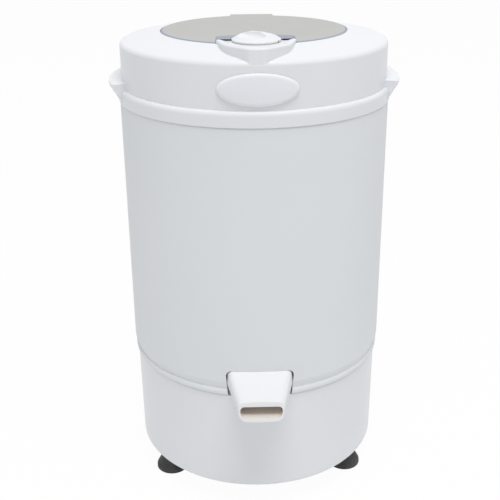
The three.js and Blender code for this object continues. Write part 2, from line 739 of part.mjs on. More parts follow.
function housingShell() {
  const skirtInner = SKIRT_RADIUS - SKIRT_WALL;
  const spigotOuter = BODY_INNER - SEAT_GAP;
  const spigotInner = spigotOuter - SPIGOT_WALL;
  const splashOuter = MOUTH_RADIUS + SPLASH_WALL;
  const seatBottom = SEAT_LEVEL - RING_WALL;
  const ribInner = TUB_RADIUS + RUN_GAP;
  const ribOuter = ribInner + TUB_RIB_WALL;
  const ringSteps = [0.75, 0.5, 0.25].map((share) => RING_EDGE + TOP_RING_WIDTH * share);
  return revolve(rounded([
    [COLLAR_RADIUS, COLLAR_BOTTOM],
    [COLLAR_RADIUS - COLLAR_DRAFT, COLLAR_RIM, COLLAR_ROUND],
    [SKIRT_RADIUS, COLLAR_RIM + 0.6],
    [SKIRT_RADIUS, ringTop(SKIRT_RADIUS), SHOULDER_ROUND, 4],
    ...ringSteps.map((radius) => [radius, ringTop(radius)]),
    [RING_EDGE, ringTop(RING_EDGE)],
    [RING_EDGE, SEAT_LEVEL],
    [MOUTH_RADIUS, SEAT_LEVEL],
    [MOUTH_RADIUS, SPLASH_BOTTOM],
    [splashOuter, SPLASH_BOTTOM],
    [splashOuter, seatBottom],
    [RING_EDGE + 2, seatBottom],
    [ribInner, ringTop(ribInner) - RING_WALL],
    [ribInner, TUB_RIB_BOTTOM],
    [ribOuter, TUB_RIB_BOTTOM],
    [ribOuter, ringTop(ribOuter) - RING_WALL],
    [skirtInner, ringTop(skirtInner) - RING_WALL, SHOULDER_ROUND - SKIRT_WALL, 1],
    [spigotInner, COLLAR_BOTTOM - SPIGOT_DEPTH],
    [spigotOuter, COLLAR_BOTTOM - SPIGOT_DEPTH],
    [spigotOuter, COLLAR_BOTTOM],
  ]), SHELL_FACETS);
}

// One carry grip, on the +X side: a wedge with a flat top and a sloping
// underside, hollow from within.
function carryGrip() {
  const rootRadius = SKIRT_RADIUS - 1;
  const outside = revolve(rounded([
    [rootRadius, GRIP_TOP],
    [rootRadius, GRIP_FOOT],
    [COLLAR_RADIUS - COLLAR_DRAFT, GRIP_FOOT],
    [GRIP_RADIUS, GRIP_TOP - GRIP_NOSE, 2],
    [GRIP_RADIUS, GRIP_TOP, 2],
  ]), SHELL_FACETS);
  return outside.intersect(sector(GRIP_HALF_ANGLE));
}

function gripHollow() {
  const inside = revolve(rounded([
    [SKIRT_RADIUS - SKIRT_WALL - 1, GRIP_TOP - GRIP_WALL],
    [SKIRT_RADIUS - SKIRT_WALL - 1, GRIP_FOOT + 8],
    [COLLAR_RADIUS, GRIP_FOOT + 8],
    [GRIP_RADIUS - GRIP_WALL, GRIP_TOP - GRIP_NOSE],
    [GRIP_RADIUS - GRIP_WALL, GRIP_TOP - GRIP_WALL],
  ]), SHELL_FACETS);
  return inside.intersect(sector(GRIP_HALF_ANGLE - 1));
}

// Half an ellipse in plan, bulging to the front, with a straight rear edge.
function bossOutline(inset, height) {
  const steps = 14;
  const halfWidth = BOSS_HALF_WIDTH - inset;
  const reach = BOSS_REACH - inset;
  const start = Math.asin((BOSS_CENTRE_Y - BOSS_REAR_Y) / reach);
  return Array.from({ length: steps + 1 }, (_, i) => {
    const angle = start + ((Math.PI - 2 * start) * i) / steps;
    return new THREE.Vector3(
      -halfWidth * Math.cos(angle),
      BOSS_CENTRE_Y - reach * Math.sin(angle),
      height,
    );
  });
}

function knobBoss() {
  const floorBottom = POCKET_FLOOR - BOSS_WALL;
  const boss = loft([
    bossOutline(0, floorBottom),
    bossOutline(0, BOSS_TOP - BOSS_EDGE),
    bossOutline(BOSS_EDGE * 0.3, BOSS_TOP - BOSS_EDGE * 0.3),
    bossOutline(BOSS_EDGE, BOSS_TOP),
  ]);
  const shaftLug = moved(disc(11, BOSS_TOP - BOSS_WALL, BOSS_TOP, SMALL_FACETS), new THREE.Vector3(0, KNOB_Y, 0));
  return join(boss, shaftLug);
}

// The front of the boss runs down in a short flared neck and dies into the
// skirt, so that its wall has no step where it crosses the shoulder.
function bossNeck() {
  const skirt = SKIRT_RADIUS - 0.5;
  const root = BOSS_REACH - BOSS_CENTRE_Y;
  const flares = [11, 5.4, 2.4, 0.9, 0];
  const sections = [2, 7, 12, 17, NECK_DROP].map((drop) => {
    const front = root - 0.6 + ((skirt - root + 0.6) * drop) / NECK_DROP;
    const outline = flares.map((flare, i) => {
      const share = i / (flares.length - 1);
      return [NECK_HALF_WIDTH + flare, -(root - 5 + (front - root + 5) * share)];
    });
    const right = outline.map(([x, y]) => new THREE.Vector3(x, y, BOSS_TOP - drop));
    const left = outline.map(([x, y]) => new THREE.Vector3(-x, y, BOSS_TOP - drop)).reverse();
    return [...right, ...left];
  });
  const sunk = new THREE.Vector3(0, 6, -2);
  return loft([...sections, sections.at(-1).map((point) => point.clone().add(sunk))]);
}

// The pocket behind the boss, which the flange of the lid's notch hangs in.
function pocketOuter() {
  const side = LID_NOTCH_HALF_WIDTH + LID_FLANGE_WALL + RUN_GAP + POCKET_SIDE;
  const rear = NOTCH_REAR_Y + LID_FLANGE_WALL + POCKET_REAR_ROOM + POCKET_SIDE;
  return box(-side, side, BOSS_REAR_Y - 8, rear, POCKET_FLOOR - BOSS_WALL, SEAT_LEVEL - 1);
}

function pocketInner() {
  const side = LID_NOTCH_HALF_WIDTH + LID_FLANGE_WALL + RUN_GAP;
  const rear = NOTCH_REAR_Y + LID_FLANGE_WALL + POCKET_REAR_ROOM;
  const open = box(-side, side, BOSS_REAR_Y, rear, POCKET_FLOOR, FAR * 2);
  const front = box(-side, side, BOSS_REAR_Y - 6, BOSS_REAR_Y + 1, POCKET_FLOOR, SEAT_LEVEL);
  return join(open, front).intersect(disc(RING_EDGE, 0, 2 * FAR, SHELL_FACETS));
}

function bossHollow() {
  const halfWidth = BOSS_HALF_WIDTH - BOSS_WALL - 2;
  const throat = box(-halfWidth, halfWidth, BOSS_REAR_Y - 1, BOSS_REAR_Y + 2, POCKET_FLOOR, BOSS_TOP - BOSS_WALL);
  return loft([
    bossOutline(BOSS_WALL, POCKET_FLOOR),
    bossOutline(BOSS_WALL, BOSS_TOP - BOSS_WALL),
  ]).add(throat);
}

function hingePocket(grow) {
  const halfWidth = HINGE_POCKET_HALF_WIDTH + grow;
  const front = HINGE_Y - LID_TAB_LENGTH - grow;
  const rear = HINGE_Y + HINGE_BARREL_RADIUS + 3 + grow;
  const top = grow > 0 ? ringTop(HINGE_Y + HINGE_BARREL_RADIUS + 6) - 1 : FAR * 2;
  return box(-halfWidth, halfWidth, front, rear, HINGE_POCKET_FLOOR - grow, top);
}

function topHousing() {
  const grips = join(carryGrip(), carryGrip().rotate([0, 0, 180]));
  const hollows = join(gripHollow(), gripHollow().rotate([0, 0, 180]));
  const outside = join(
    cut(join(housingShell(), grips), hollows),
    knobBoss(),
    bossNeck(),
    pocketOuter(),
    hingePocket(HINGE_POCKET_WALL),
  );
  const shaftHole = hole(KNOB_SHAFT_RADIUS + SEAT_GAP, new THREE.Vector3(0, KNOB_Y, 0));
  const pinHole = rodAlongX(HINGE_PIN_RADIUS + SEAT_GAP, HINGE_POCKET_HALF_WIDTH + 8, HINGE_Y, HINGE_Z, 12);
  const cableHole = moved(
    disc(CABLE_RADIUS + CABLE_HOLE_ROOM, -9, 9, BOLT_FACETS).rotate([90, 0, CABLE_CROSSING_ANGLE]),
    around(CABLE_CROSSING_RADIUS + 2, CABLE_CROSSING_ANGLE + 0.5, KNOB_SHAFT_BOTTOM - 1),
  );
  return cut(
    outside,
    pocketInner(),
    bossHollow(),
    hingePocket(0),
    shaftHole,
    pinHole,
    cableHole,
  );
}

function badgePlate() {
  const steps = 28;
  const section = (inset, y) => Array.from({ length: steps }, (_, i) => {
    const angle = (2 * Math.PI * i) / steps;
    return new THREE.Vector3(
      (BADGE_HALF_WIDTH - inset) * Math.cos(angle),
      y,
      BADGE_HEIGHT + (BADGE_HALF_HEIGHT - inset) * Math.sin(angle),
    );
  });
  const face = SKIRT_RADIUS + SEAT_GAP + 0.2;
  const oval = loft([section(0, -FAR), section(0, -100)]);
  const lower = ring(face, face + BADGE_THICKNESS - BADGE_BEVEL, 0, 2 * FAR, SHELL_FACETS).intersect(oval);
  const inner = loft([section(BADGE_BEVEL * 1.5, -FAR), section(BADGE_BEVEL * 1.5, -100)]);
  const upper = ring(face, face + BADGE_THICKNESS, 0, 2 * FAR, SHELL_FACETS).intersect(inner);
  return join(lower, upper);
}

// ---------------------------------------------------------------- lid panel

function lidPanel() {
  const bottom = LID_TOP - LID_THICKNESS;
  const flangeOuter = MOUTH_RADIUS - LID_FLANGE_INSET;
  const plate = revolve(rounded([
    [0, bottom],
    [LID_RADIUS - 1.4, bottom],
    [LID_RADIUS, bottom + 1.6],
    [LID_RADIUS, LID_TOP - 0.4],
    [LID_RADIUS - 0.4, LID_TOP],
    [0, LID_TOP],
  ]), SHELL_FACETS);
  const flange = ring(flangeOuter - LID_FLANGE_WALL, flangeOuter, bottom - LID_FLANGE_DEPTH, bottom + 1);
  const tab = box(-LID_TAB_HALF_WIDTH, LID_TAB_HALF_WIDTH, HINGE_Y - LID_TAB_LENGTH, HINGE_Y,
    bottom, LID_TOP - 0.4);
  const barrel = rodAlongX(HINGE_BARREL_RADIUS, BARREL_HALF_LENGTH, HINGE_Y, HINGE_Z, 16);
  const wallBottom = POCKET_FLOOR + SEAT_GAP;
  const wallOuter = box(
    -LID_NOTCH_HALF_WIDTH - LID_FLANGE_WALL,
    LID_NOTCH_HALF_WIDTH + LID_FLANGE_WALL,
    -FAR,
    NOTCH_REAR_Y + LID_FLANGE_WALL,
    wallBottom,
    bottom + 1,
  ).intersect(disc(LID_RADIUS, 0, 2 * FAR, SHELL_FACETS));
  const notch = box(-LID_NOTCH_HALF_WIDTH, LID_NOTCH_HALF_WIDTH, -FAR, NOTCH_REAR_Y, 0, 2 * FAR);
  const flangeClear = box(-LID_NOTCH_HALF_WIDTH - 12, LID_NOTCH_HALF_WIDTH + 12, -FAR,
    NOTCH_REAR_Y + 12, 0, bottom);
  const tongueSlot = box(-TONGUE_SLOT_LEFT, TONGUE_SLOT_RIGHT, NOTCH_REAR_Y - 3, NOTCH_REAR_Y + LID_FLANGE_WALL + 3,
    TONGUE_BOTTOM - RUN_GAP, TONGUE_BOTTOM + TONGUE_THICKNESS + RUN_GAP);
  const pinHole = rodAlongX(HINGE_PIN_RADIUS + SEAT_GAP, BARREL_HALF_LENGTH + 1, HINGE_Y, HINGE_Z, 12);
  const skirted = join(plate, cut(flange, flangeClear), tab, barrel, wallOuter);
  return cut(skirted, notch, tongueSlot, pinHole);
}

function hingePin() {
  return rodAlongX(HINGE_PIN_RADIUS, HINGE_POCKET_HALF_WIDTH + HINGE_POCKET_WALL + 1, HINGE_Y, HINGE_Z, 12);
}

// ---------------------------------------------------------------- knob and lock

function knob() {
  const bottom = BOSS_TOP + SEAT_GAP;
  const top = bottom + KNOB_HEIGHT;
  const dome = revolve(rounded([
    [0, bottom],
    [KNOB_RADIUS - 1, bottom],
    [KNOB_RADIUS, bottom + 1],
    [KNOB_RADIUS, bottom + KNOB_RIM, 1],
    [KNOB_RADIUS * 0.7, top - KNOB_HEIGHT * 0.3, 12, 3],
    [KNOB_RADIUS * 0.3, top, 10, 2],
    [0, top],
  ]), KNOB_FACETS);
  const scoopY = KNOB_RIDGE_HALF_WIDTH + KNOB_SCOOP_RADIUS * 0.94;
  const scoopZ = bottom + KNOB_SCOOP_FLOOR + KNOB_SCOOP_RADIUS;
  const scoops = [-1, 1].map((side) => (
    rodAlongX(KNOB_SCOOP_RADIUS, KNOB_RADIUS, side * scoopY, scoopZ, 24)
  ));
  const socket = disc(KNOB_SHAFT_RADIUS + SEAT_GAP, bottom - 1, bottom + KNOB_SOCKET_DEPTH, SMALL_FACETS);
  const pointer = box(KNOB_RADIUS - 3.4, KNOB_RADIUS + 1, -2, 2, bottom - 1, bottom + KNOB_RIM);
  return cut(dome, ...scoops, socket, pointer)
    .rotate([0, 0, KNOB_REST_ANGLE])
    .translate([0, KNOB_Y, 0]);
}

function knobShaft() {
  const top = BOSS_TOP + SEAT_GAP + KNOB_SOCKET_DEPTH - SEAT_GAP;
  return disc(KNOB_SHAFT_RADIUS, KNOB_SHAFT_BOTTOM, top, SMALL_FACETS).translate([0, KNOB_Y, 0]);
}

// A flat arm with a round end, turned about the knob's axis.
function arm(length, halfWidth, hubRadius, bottom, thickness, degrees) {
  const outline = rounded([
    [0, -halfWidth],
    [length, -halfWidth, halfWidth - 0.2],
    [length, halfWidth, halfWidth - 0.2],
    [0, halfWidth],
  ]);
  const blade = slab(outline, bottom, bottom + thickness);
  const hub = disc(hubRadius, bottom, bottom + thickness, SMALL_FACETS);
  const bore = hole(KNOB_SHAFT_RADIUS + SEAT_GAP, new THREE.Vector3());
  return cut(join(blade, hub), bore).rotate([0, 0, degrees]).translate([0, KNOB_Y, 0]);
}

function lockCam() {
  const tongue = arm(TONGUE_LENGTH, TONGUE_HALF_WIDTH, 10, TONGUE_BOTTOM, TONGUE_THICKNESS, TONGUE_REST_ANGLE);
  const lobe = arm(ARM_LENGTH, 4, 9, TONGUE_BOTTOM, TONGUE_THICKNESS, TONGUE_REST_ANGLE - 110);
  return join(tongue, lobe);
}

function cableArm() {
  return arm(ARM_LENGTH, 4.5, 9, KNOB_SHAFT_BOTTOM + 1, ARM_THICKNESS, ARM_REST_ANGLE);
}

function safetySwitch() {
  const left = 19;
  const middle = KNOB_Y - 8;
  const bottom = POCKET_FLOOR + SEAT_GAP;
  const body = box(left, left + SWITCH_LENGTH, middle - SWITCH_WIDTH / 2, middle + SWITCH_WIDTH / 2,
    bottom, bottom + SWITCH_HEIGHT);
  const button = rodAlongX(2, 2, middle, bottom + SWITCH_HEIGHT / 2, 10).translate([left, 0, 0]);
  return join(body, button);
}

// ---------------------------------------------------------------- water side

function spoutSection(y, inset) {
  const share = (-y - BODY_RADIUS) / SPOUT_LENGTH;
  const along = (root, mouth) => root + (mouth - root) * share;
  const topHalf = along(SPOUT_ROOT_HALF_WIDTH, SPOUT_MOUTH_HALF_WIDTH) - inset * SPOUT_SIDE_WALL;
  const footHalf = along(SPOUT_ROOT_FOOT_HALF_WIDTH, SPOUT_MOUTH_FOOT_HALF_WIDTH) - inset * SPOUT_SIDE_WALL;
  const bottom = along(SPOUT_ROOT_BOTTOM, SPOUT_MOUTH_BOTTOM) + inset * SPOUT_FLOOR_WALL;
  const top = along(SPOUT_ROOT_TOP, SPOUT_MOUTH_TOP) - inset * SPOUT_TOP_WALL;
  const [topRound, footRound] = inset ? [5, 6.5] : [SPOUT_TOP_ROUND, SPOUT_FOOT_ROUND];
  const outline = rounded([
    [0, bottom],
    [footHalf, bottom, footRound, 3],
    [topHalf, top, topRound, 3],
    [0, top],
    [-topHalf, top, topRound, 3],
    [-footHalf, bottom, footRound, 3],
  ]);
  const crown = (point) => SPOUT_CROWN * (1 - (point.x / topHalf) ** 2);
  const upwards = (point) => (point.y > (top + bottom) / 2 ? (1 - inset) * 1.0 : inset - 1);
  return outline.map((point) => (
    new THREE.Vector3(point.x, y, point.y + crown(point) * upwards(point))
  ));
}

// A flattened spout that narrows to its mouth, with soft sides, a crowned top
// and a bowed lip below the mouth.
function drainSpout() {
  const start = 20 - TUB_RADIUS;
  const outside = loft([spoutSection(start, 0), spoutSection(-SPOUT_REACH, 0)]);
  const channel = loft([spoutSection(start + 5, 1), spoutSection(-SPOUT_REACH - 5, 1)]);
  const tubSide = disc(TUB_RADIUS + SEAT_GAP, 0, FAR, DRUM_FACETS);
  return cut(outside, channel, tubSide);
}

function waterTub() {
  const inner = TUB_RADIUS - TUB_WALL;
  const neckOuter = TUB_NECK_RADIUS + TUB_NECK_WALL;
  const skirtInner = TUB_RADIUS - TUB_SKIRT_WIDTH;
  const skirtBottom = BASE_TOP + SEAT_GAP;
  const tub = revolve(rounded([
    [TUB_RADIUS, skirtBottom],
    [TUB_RADIUS, TUB_TOP],
    [inner, TUB_TOP],
    [inner, TUB_FLOOR_OUTER, TUB_CORNER, 1],
    [neckOuter, TUB_FLOOR_INNER],
    [neckOuter, TUB_NECK_TOP],
    [TUB_NECK_RADIUS, TUB_NECK_TOP],
    [TUB_NECK_RADIUS, TUB_FLOOR_INNER - TUB_NECK_DROP],
    [neckOuter, TUB_FLOOR_INNER - TUB_NECK_DROP],
    [neckOuter, TUB_FLOOR_INNER - TUB_WALL],
    [skirtInner, TUB_FLOOR_OUTER - TUB_WALL],
    [skirtInner, skirtBottom],
  ]), DRUM_FACETS);
  const outletHalfWidth = SPOUT_ROOT_HALF_WIDTH - SPOUT_SIDE_WALL - 4;
  const outlet = box(-outletHalfWidth, outletHalfWidth, -FAR, -TUB_RADIUS + 20,
    TUB_FLOOR_OUTER + 0.5, SPOUT_ROOT_TOP - SPOUT_TOP_WALL);
  return cut(tub, outlet);
}

function tubSeal() {
  const outer = TUB_NECK_RADIUS - SEAT_GAP;
  const inner = SHAFT_RADIUS + SEAT_GAP;
  const bottom = TUB_NECK_TOP - TUB_NECK_RISE - TUB_NECK_DROP / 2 - SEAL_HEIGHT / 4;
  const top = bottom + SEAL_HEIGHT;
  const web = bottom + SEAL_HEIGHT / 3;
  return revolve(rounded([
    [outer, bottom],
    [outer, top],
    [outer - SEAL_RIM, top],
    [outer - SEAL_RIM, web],
    [inner + SEAL_LIP, web + SEAL_LIP],
    [inner + SEAL_LIP, top - SEAL_LIP],
    [inner, top - SEAL_LIP / 2],
    [inner, web],
    [outer - 2 * SEAL_RIM, bottom],
  ]), SMALL_FACETS);
}

// ---------------------------------------------------------------- drum

// Small round holes, each centred on a facet, in rows that step round.
function drumHoles() {
  const facetsPerHole = DRUM_FACETS / HOLES_PER_ROW;
  const facetAngle = 360 / DRUM_FACETS;
  const first = DRUM_BOTTOM + HOLE_MARGIN;
  const last = DRUM_TOP - HOLE_MARGIN;
  const holes = [];
  for (let row = 0; row < HOLE_ROWS; row += 1) {
    const height = first + ((last - first) * row) / (HOLE_ROWS - 1);
    for (let column = 0; column < HOLES_PER_ROW; column += 1) {
      const facet = column * facetsPerHole + (row % facetsPerHole) + 0.5;
      const drill = disc(HOLE_RADIUS, DRUM_RADIUS - 8, DRUM_RADIUS + 8, 6).rotate([90, 0, 0]);
      holes.push(drill.rotate([0, 0, facet * facetAngle]).translate([0, 0, height]));
    }
  }
  return holes;
}

function spinDrum() {
  const wallTop = DRUM_TOP - SEAT_GAP;
  const inner = DRUM_RADIUS - DRUM_WALL;
  const lip = DRUM_RADIUS - DRUM_LIP_WIDTH;
  const wall = revolve(rounded([
    [DRUM_RADIUS, DRUM_SEAM + SEAT_GAP],
    [DRUM_RADIUS, wallTop],
    [lip, wallTop],
    [lip, wallTop - DRUM_WALL],
    [inner, wallTop - DRUM_WALL],
    [inner, DRUM_SEAM + SEAT_GAP],
  ]), DRUM_FACETS);
  return cut(wall, ...drumHoles());
}

// The pressed floor of the drum, whose round corner meets the wall at a seam.
function drumFloor() {
  const inner = DRUM_RADIUS - DRUM_WALL;
  const bore = SHAFT_THREAD_RADIUS + SEAT_GAP;
  return revolve(rounded([
    [bore, DRUM_BOTTOM],
    [DRUM_RADIUS, DRUM_BOTTOM, DRUM_CORNER],
    [DRUM_RADIUS, DRUM_SEAM],
    [inner, DRUM_SEAM],
    [inner, DRUM_BOTTOM + DRUM_WALL, DRUM_CORNER - DRUM_WALL, 1],
    [bore, DRUM_BOTTOM + DRUM_WALL],
  ]), DRUM_FACETS);
}

function drumRing() {
  return revolve(rounded([
    [DRUM_MOUTH_RADIUS, DRUM_TOP],
    [DRUM_RADIUS + 1, DRUM_TOP],
    [DRUM_RADIUS + 1, DRUM_TOP + DRUM_RING_HEIGHT, DRUM_RING_ROUND, 1],
    [DRUM_MOUTH_RADIUS, DRUM_TOP + DRUM_RING_HEIGHT, DRUM_RING_ROUND],
  ]), DRUM_FACETS);
}

function drumHub() {
  const top = DRUM_BOTTOM - SEAT_GAP;
  const bottom = top - HUB_THICKNESS;
  const bore = SHAFT_THREAD_RADIUS + SEAT_GAP;
  return revolve(rounded([
    [bore, bottom],
    [HUB_SKIRT_RADIUS - HUB_SKIRT_WALL, bottom],
    [HUB_SKIRT_RADIUS - HUB_SKIRT_WALL, HUB_SKIRT_BOTTOM],
    [HUB_SKIRT_RADIUS, HUB_SKIRT_BOTTOM],
    [HUB_SKIRT_RADIUS, bottom],
    [HUB_RADIUS, top - 3],
    [HUB_RADIUS, top],
    [bore, top],
  ]));
}

function drumNut() {
  const bottom = DRUM_BOTTOM + DRUM_WALL + SEAT_GAP;
  const flange = ring(SHAFT_THREAD_RADIUS + SEAT_GAP, NUT_RADIUS + NUT_FLANGE_WIDTH, bottom, bottom + 3,
    SMALL_FACETS);
  const hexagon = ring(SHAFT_THREAD_RADIUS + SEAT_GAP, NUT_RADIUS, bottom + 2, bottom + NUT_HEIGHT, 6);
  const bore = hole(SHAFT_THREAD_RADIUS + SEAT_GAP, new THREE.Vector3());
  return cut(join(flange, hexagon), bore);
}

function driveShaft() {
  return revolve(rounded([
    [0, SHAFT_BOTTOM],
    [SHAFT_RADIUS, SHAFT_BOTTOM],
    [SHAFT_RADIUS, SHAFT_SHOULDER],
    [SHAFT_THREAD_RADIUS, SHAFT_SHOULDER],
    [SHAFT_THREAD_RADIUS, SHAFT_TOP],
    [0, SHAFT_TOP],
  ]), SMALL_FACETS);
}

// ---------------------------------------------------------------- motor

const upperBearingTop = PLATE_BOTTOM - SEAT_GAP;
const lowerBearingBottom = MOTOR_BOTTOM - MOTOR_CAP_THICKNESS;

function motorHousing() {
  const top = PLATE_BOTTOM - SEAT_GAP;
  const flangeBottom = top - MOTOR_FLANGE_THICKNESS;
  const inner = MOTOR_RADIUS - MOTOR_WALL;
  const seat = BEARING_RADIUS + SEAT_GAP;
  return revolve(rounded([
    [MOTOR_RADIUS, MOTOR_BOTTOM],
    [MOTOR_RADIUS, flangeBottom],
    [MOTOR_FLANGE_RADIUS, flangeBottom],
    [MOTOR_FLANGE_RADIUS, top],
    [seat, top],
    [seat, top - BEARING_HEIGHT - 2],
    [seat + BEARING_HUB_WALL, top - BEARING_HEIGHT - 2],
    [seat + BEARING_HUB_WALL, flangeBottom],
    [inner, flangeBottom],
    [inner, MOTOR_BOTTOM],
  ]));
}

function motorEndCap() {
  const top = MOTOR_BOTTOM - SEAT_GAP;
  const bottom = top - MOTOR_CAP_THICKNESS;
  const seat = BEARING_RADIUS + SEAT_GAP;
  return revolve(rounded([
    [seat, bottom],
    [MOTOR_RADIUS, bottom, 3],
    [MOTOR_RADIUS, top],
    [seat + BEARING_HUB_WALL, top],
    [seat + BEARING_HUB_WALL, top + BEARING_HEIGHT - 2],
    [seat, top + BEARING_HEIGHT - 2],
  ]));
}

function bearing(bottom) {
  return revolve(rounded([
    [SHAFT_RADIUS + SEAT_GAP, bottom],
    [BEARING_RADIUS, bottom],
    [BEARING_RADIUS, bottom + BEARING_HEIGHT],
    [SHAFT_RADIUS + SEAT_GAP, bottom + BEARING_HEIGHT],
  ]), SMALL_FACETS);
}

// The stator's winding heads stand proud of its core at both ends.
function statorCore() {
  const bore = AIR_GAP_RADIUS + RUN_GAP / 2;
  return revolve(rounded([
    [bore, CORE_BOTTOM - WINDING_HEIGHT],
    [CORE_OUTER - CORE_STEP, CORE_BOTTOM - WINDING_HEIGHT],
    [CORE_OUTER - CORE_STEP, CORE_BOTTOM],
    [CORE_OUTER, CORE_BOTTOM],
    [CORE_OUTER, CORE_TOP],
    [CORE_OUTER - CORE_STEP, CORE_TOP],
    [CORE_OUTER - CORE_STEP, CORE_TOP + WINDING_HEIGHT],
    [bore, CORE_TOP + WINDING_HEIGHT],
  ]));
}

function rotorCore() {
  return ring(SHAFT_RADIUS + SEAT_GAP, AIR_GAP_RADIUS - RUN_GAP / 2, CORE_BOTTOM, CORE_TOP);
}

function motorPlate() {
  const plate = disc(PLATE_RADIUS, PLATE_BOTTOM, PLATE_TOP);
  const rim = ring(PLATE_RADIUS - PLATE_THICKNESS, PLATE_RADIUS, PLATE_TOP - 1, PLATE_TOP + PLATE_RIM);
  const clip = box(-CLIP_HALF_WIDTH, CLIP_HALF_WIDTH, -CLIP_OUTER, -CLIP_INNER,
    PLATE_TOP - 1, PLATE_TOP + CLIP_HEIGHT);
  const clipHole = disc(CABLE_RADIUS - 1, -FAR, 0, 10).rotate([-90, 0, 0]);
  const clipGap = box(-CLIP_HALF_WIDTH - 2, CLIP_HALF_WIDTH + 2, -FAR, -CLIP_OUTER, PLATE_TOP, FAR);
  const clipHeight = PLATE_TOP + CLIP_HEIGHT / 2;
  const turned = (part) => part.rotate([0, 0, CLIP_ANGLE]);
  const boltHoles = mountAngles.map((angle) => (
    hole(MOUNT_BOLT_RADIUS + SEAT_GAP, around(MOUNT_CIRCLE, angle), BOLT_HOLE_FACETS)
  ));
  const windows = mountAngles.map((angle) => (
    hole(PLATE_WINDOW_RADIUS, around(PLATE_WINDOW_CIRCLE, angle + 60), SMALL_FACETS)
  ));
  const pivotHole = hole(PIVOT_RADIUS + SEAT_GAP, new THREE.Vector3(LEVER_X, LEVER_PIVOT_Y, 0));
  return cut(
    join(plate, cut(rim, turned(clipGap)), turned(clip)),
    turned(clipHole.translate([0, 0, clipHeight])),
    disc(PLATE_BORE, 0, FAR),
    ...boltHoles,
    ...windows,
    pivotHole,
  );
}

function rubberMount() {
  const bottom = PILLAR_TOP + SEAT_GAP;
  const top = PLATE_BOTTOM - SEAT_GAP;
  return revolve(rounded([
    [MOUNT_BOLT_RADIUS + SEAT_GAP, bottom],
    [MOUNT_RADIUS, bottom],
    [MOUNT_RADIUS, bottom + MOUNT_FLANGE],
    [MOUNT_WAIST, (bottom + top) / 2],
    [MOUNT_RADIUS, top - MOUNT_FLANGE],
    [MOUNT_RADIUS, top],
    [MOUNT_BOLT_RADIUS + SEAT_GAP, top],
  ]), SMALL_FACETS);
}

// A bolt through the motor plate and the rubber mount into the pillar.
function mountBolt() {
  const headBottom = PLATE_TOP + SEAT_GAP;
  const head = disc(MOUNT_BOLT_HEAD_RADIUS, headBottom, headBottom + MOUNT_BOLT_HEAD_HEIGHT, 6);
  const shank = disc(MOUNT_BOLT_RADIUS, PILLAR_TOP - MOUNT_BOLT_DEPTH, headBottom + 1, BOLT_FACETS);
  return join(head, shank);
}

// ---------------------------------------------------------------- brake

function brakeDisc() {
  return revolve(rounded([
    [SHAFT_RADIUS + SEAT_GAP, BRAKE_DISC_BOTTOM],
    [BRAKE_DISC_RADIUS, BRAKE_DISC_BOTTOM],
    [BRAKE_DISC_RADIUS, BRAKE_DISC_TOP],
    [BRAKE_DISC_RADIUS - BRAKE_DISC_WALL, BRAKE_DISC_TOP],
    [BRAKE_DISC_RADIUS - BRAKE_DISC_WALL, BRAKE_DISC_BOTTOM + BRAKE_DISC_WALL],
    [SHAFT_RADIUS + BRAKE_DISC_HUB, BRAKE_DISC_BOTTOM + BRAKE_DISC_WALL],
    [SHAFT_RADIUS + BRAKE_DISC_HUB, BRAKE_DISC_TOP],
    [SHAFT_RADIUS + SEAT_GAP, BRAKE_DISC_TOP],
  ]), MOTOR_FACETS);
}

// A straight lever beside the disc, with a pad whose face fits the disc's rim.
function brakeLever() {
  const top = LEVER_BOTTOM + LEVER_THICKNESS;
  const outline = rounded([
    [LEVER_X - LEVER_HALF_WIDTH, LEVER_END_Y, 4],
    [LEVER_X + LEVER_HALF_WIDTH, LEVER_END_Y, 4],
    [LEVER_X + LEVER_HALF_WIDTH + 2, LEVER_PIVOT_Y + 7, 6],
    [LEVER_X - LEVER_HALF_WIDTH - 2, LEVER_PIVOT_Y + 7, 6],
  ]);
  const bar = slab(outline, LEVER_BOTTOM, top);
  const pad = box(BRAKE_DISC_RADIUS - 6, LEVER_X, -PAD_HALF_LENGTH, PAD_HALF_LENGTH, LEVER_BOTTOM - 2, top + 1);
  const padRadius = (BRAKE_DISC_RADIUS + SEAT_GAP) / Math.cos(Math.PI / SHELL_FACETS);
  const padFace = disc(padRadius, 0, FAR, SHELL_FACETS);
  const bore = hole(PIVOT_RADIUS + SEAT_GAP, new THREE.Vector3(LEVER_X, LEVER_PIVOT_Y, 0));
  return cut(join(bar, pad), padFace, bore);
}

function brakePivot() {
  const at = new THREE.Vector3(LEVER_X, LEVER_PIVOT_Y, 0);
  const shoulder = disc(PIVOT_HEAD_RADIUS, PLATE_TOP + SEAT_GAP, LEVER_BOTTOM - SEAT_GAP, BOLT_FACETS);
  const springTop = LEVER_BOTTOM + LEVER_THICKNESS + SPRING_CURLS * SPRING_PITCH + 6;
  const pin = disc(PIVOT_RADIUS, PLATE_BOTTOM, springTop, BOLT_FACETS);
  const head = disc(SPRING_RADIUS + 2, springTop - 1, springTop + 2, BOLT_FACETS);
  return moved(join(shoulder, pin, head), at);
}

// A close torsion coil round the pivot, one unbroken wire.
class SpringLine extends THREE.Curve {
  getPoint(share, target = new THREE.Vector3()) {
    const angle = 2 * Math.PI * SPRING_CURLS * share;
    return target.set(
      LEVER_X + SPRING_RADIUS * Math.cos(angle),
      LEVER_PIVOT_Y + SPRING_RADIUS * Math.sin(angle),
      LEVER_BOTTOM + LEVER_THICKNESS + SEAT_GAP + SPRING_WIRE + SPRING_CURLS * SPRING_PITCH * share,
    );
  }
}

function wireAlong(curve, radius, sides, steps) {
  const section = new THREE.Shape(Array.from({ length: sides }, (_, i) => {
    const angle = (2 * Math.PI * i) / sides;
    return new THREE.Vector2(radius * Math.cos(angle), radius * Math.sin(angle));
  }));
  return solid(new THREE.ExtrudeGeometry(section, { steps, extrudePath: curve, bevelEnabled: false }));
}

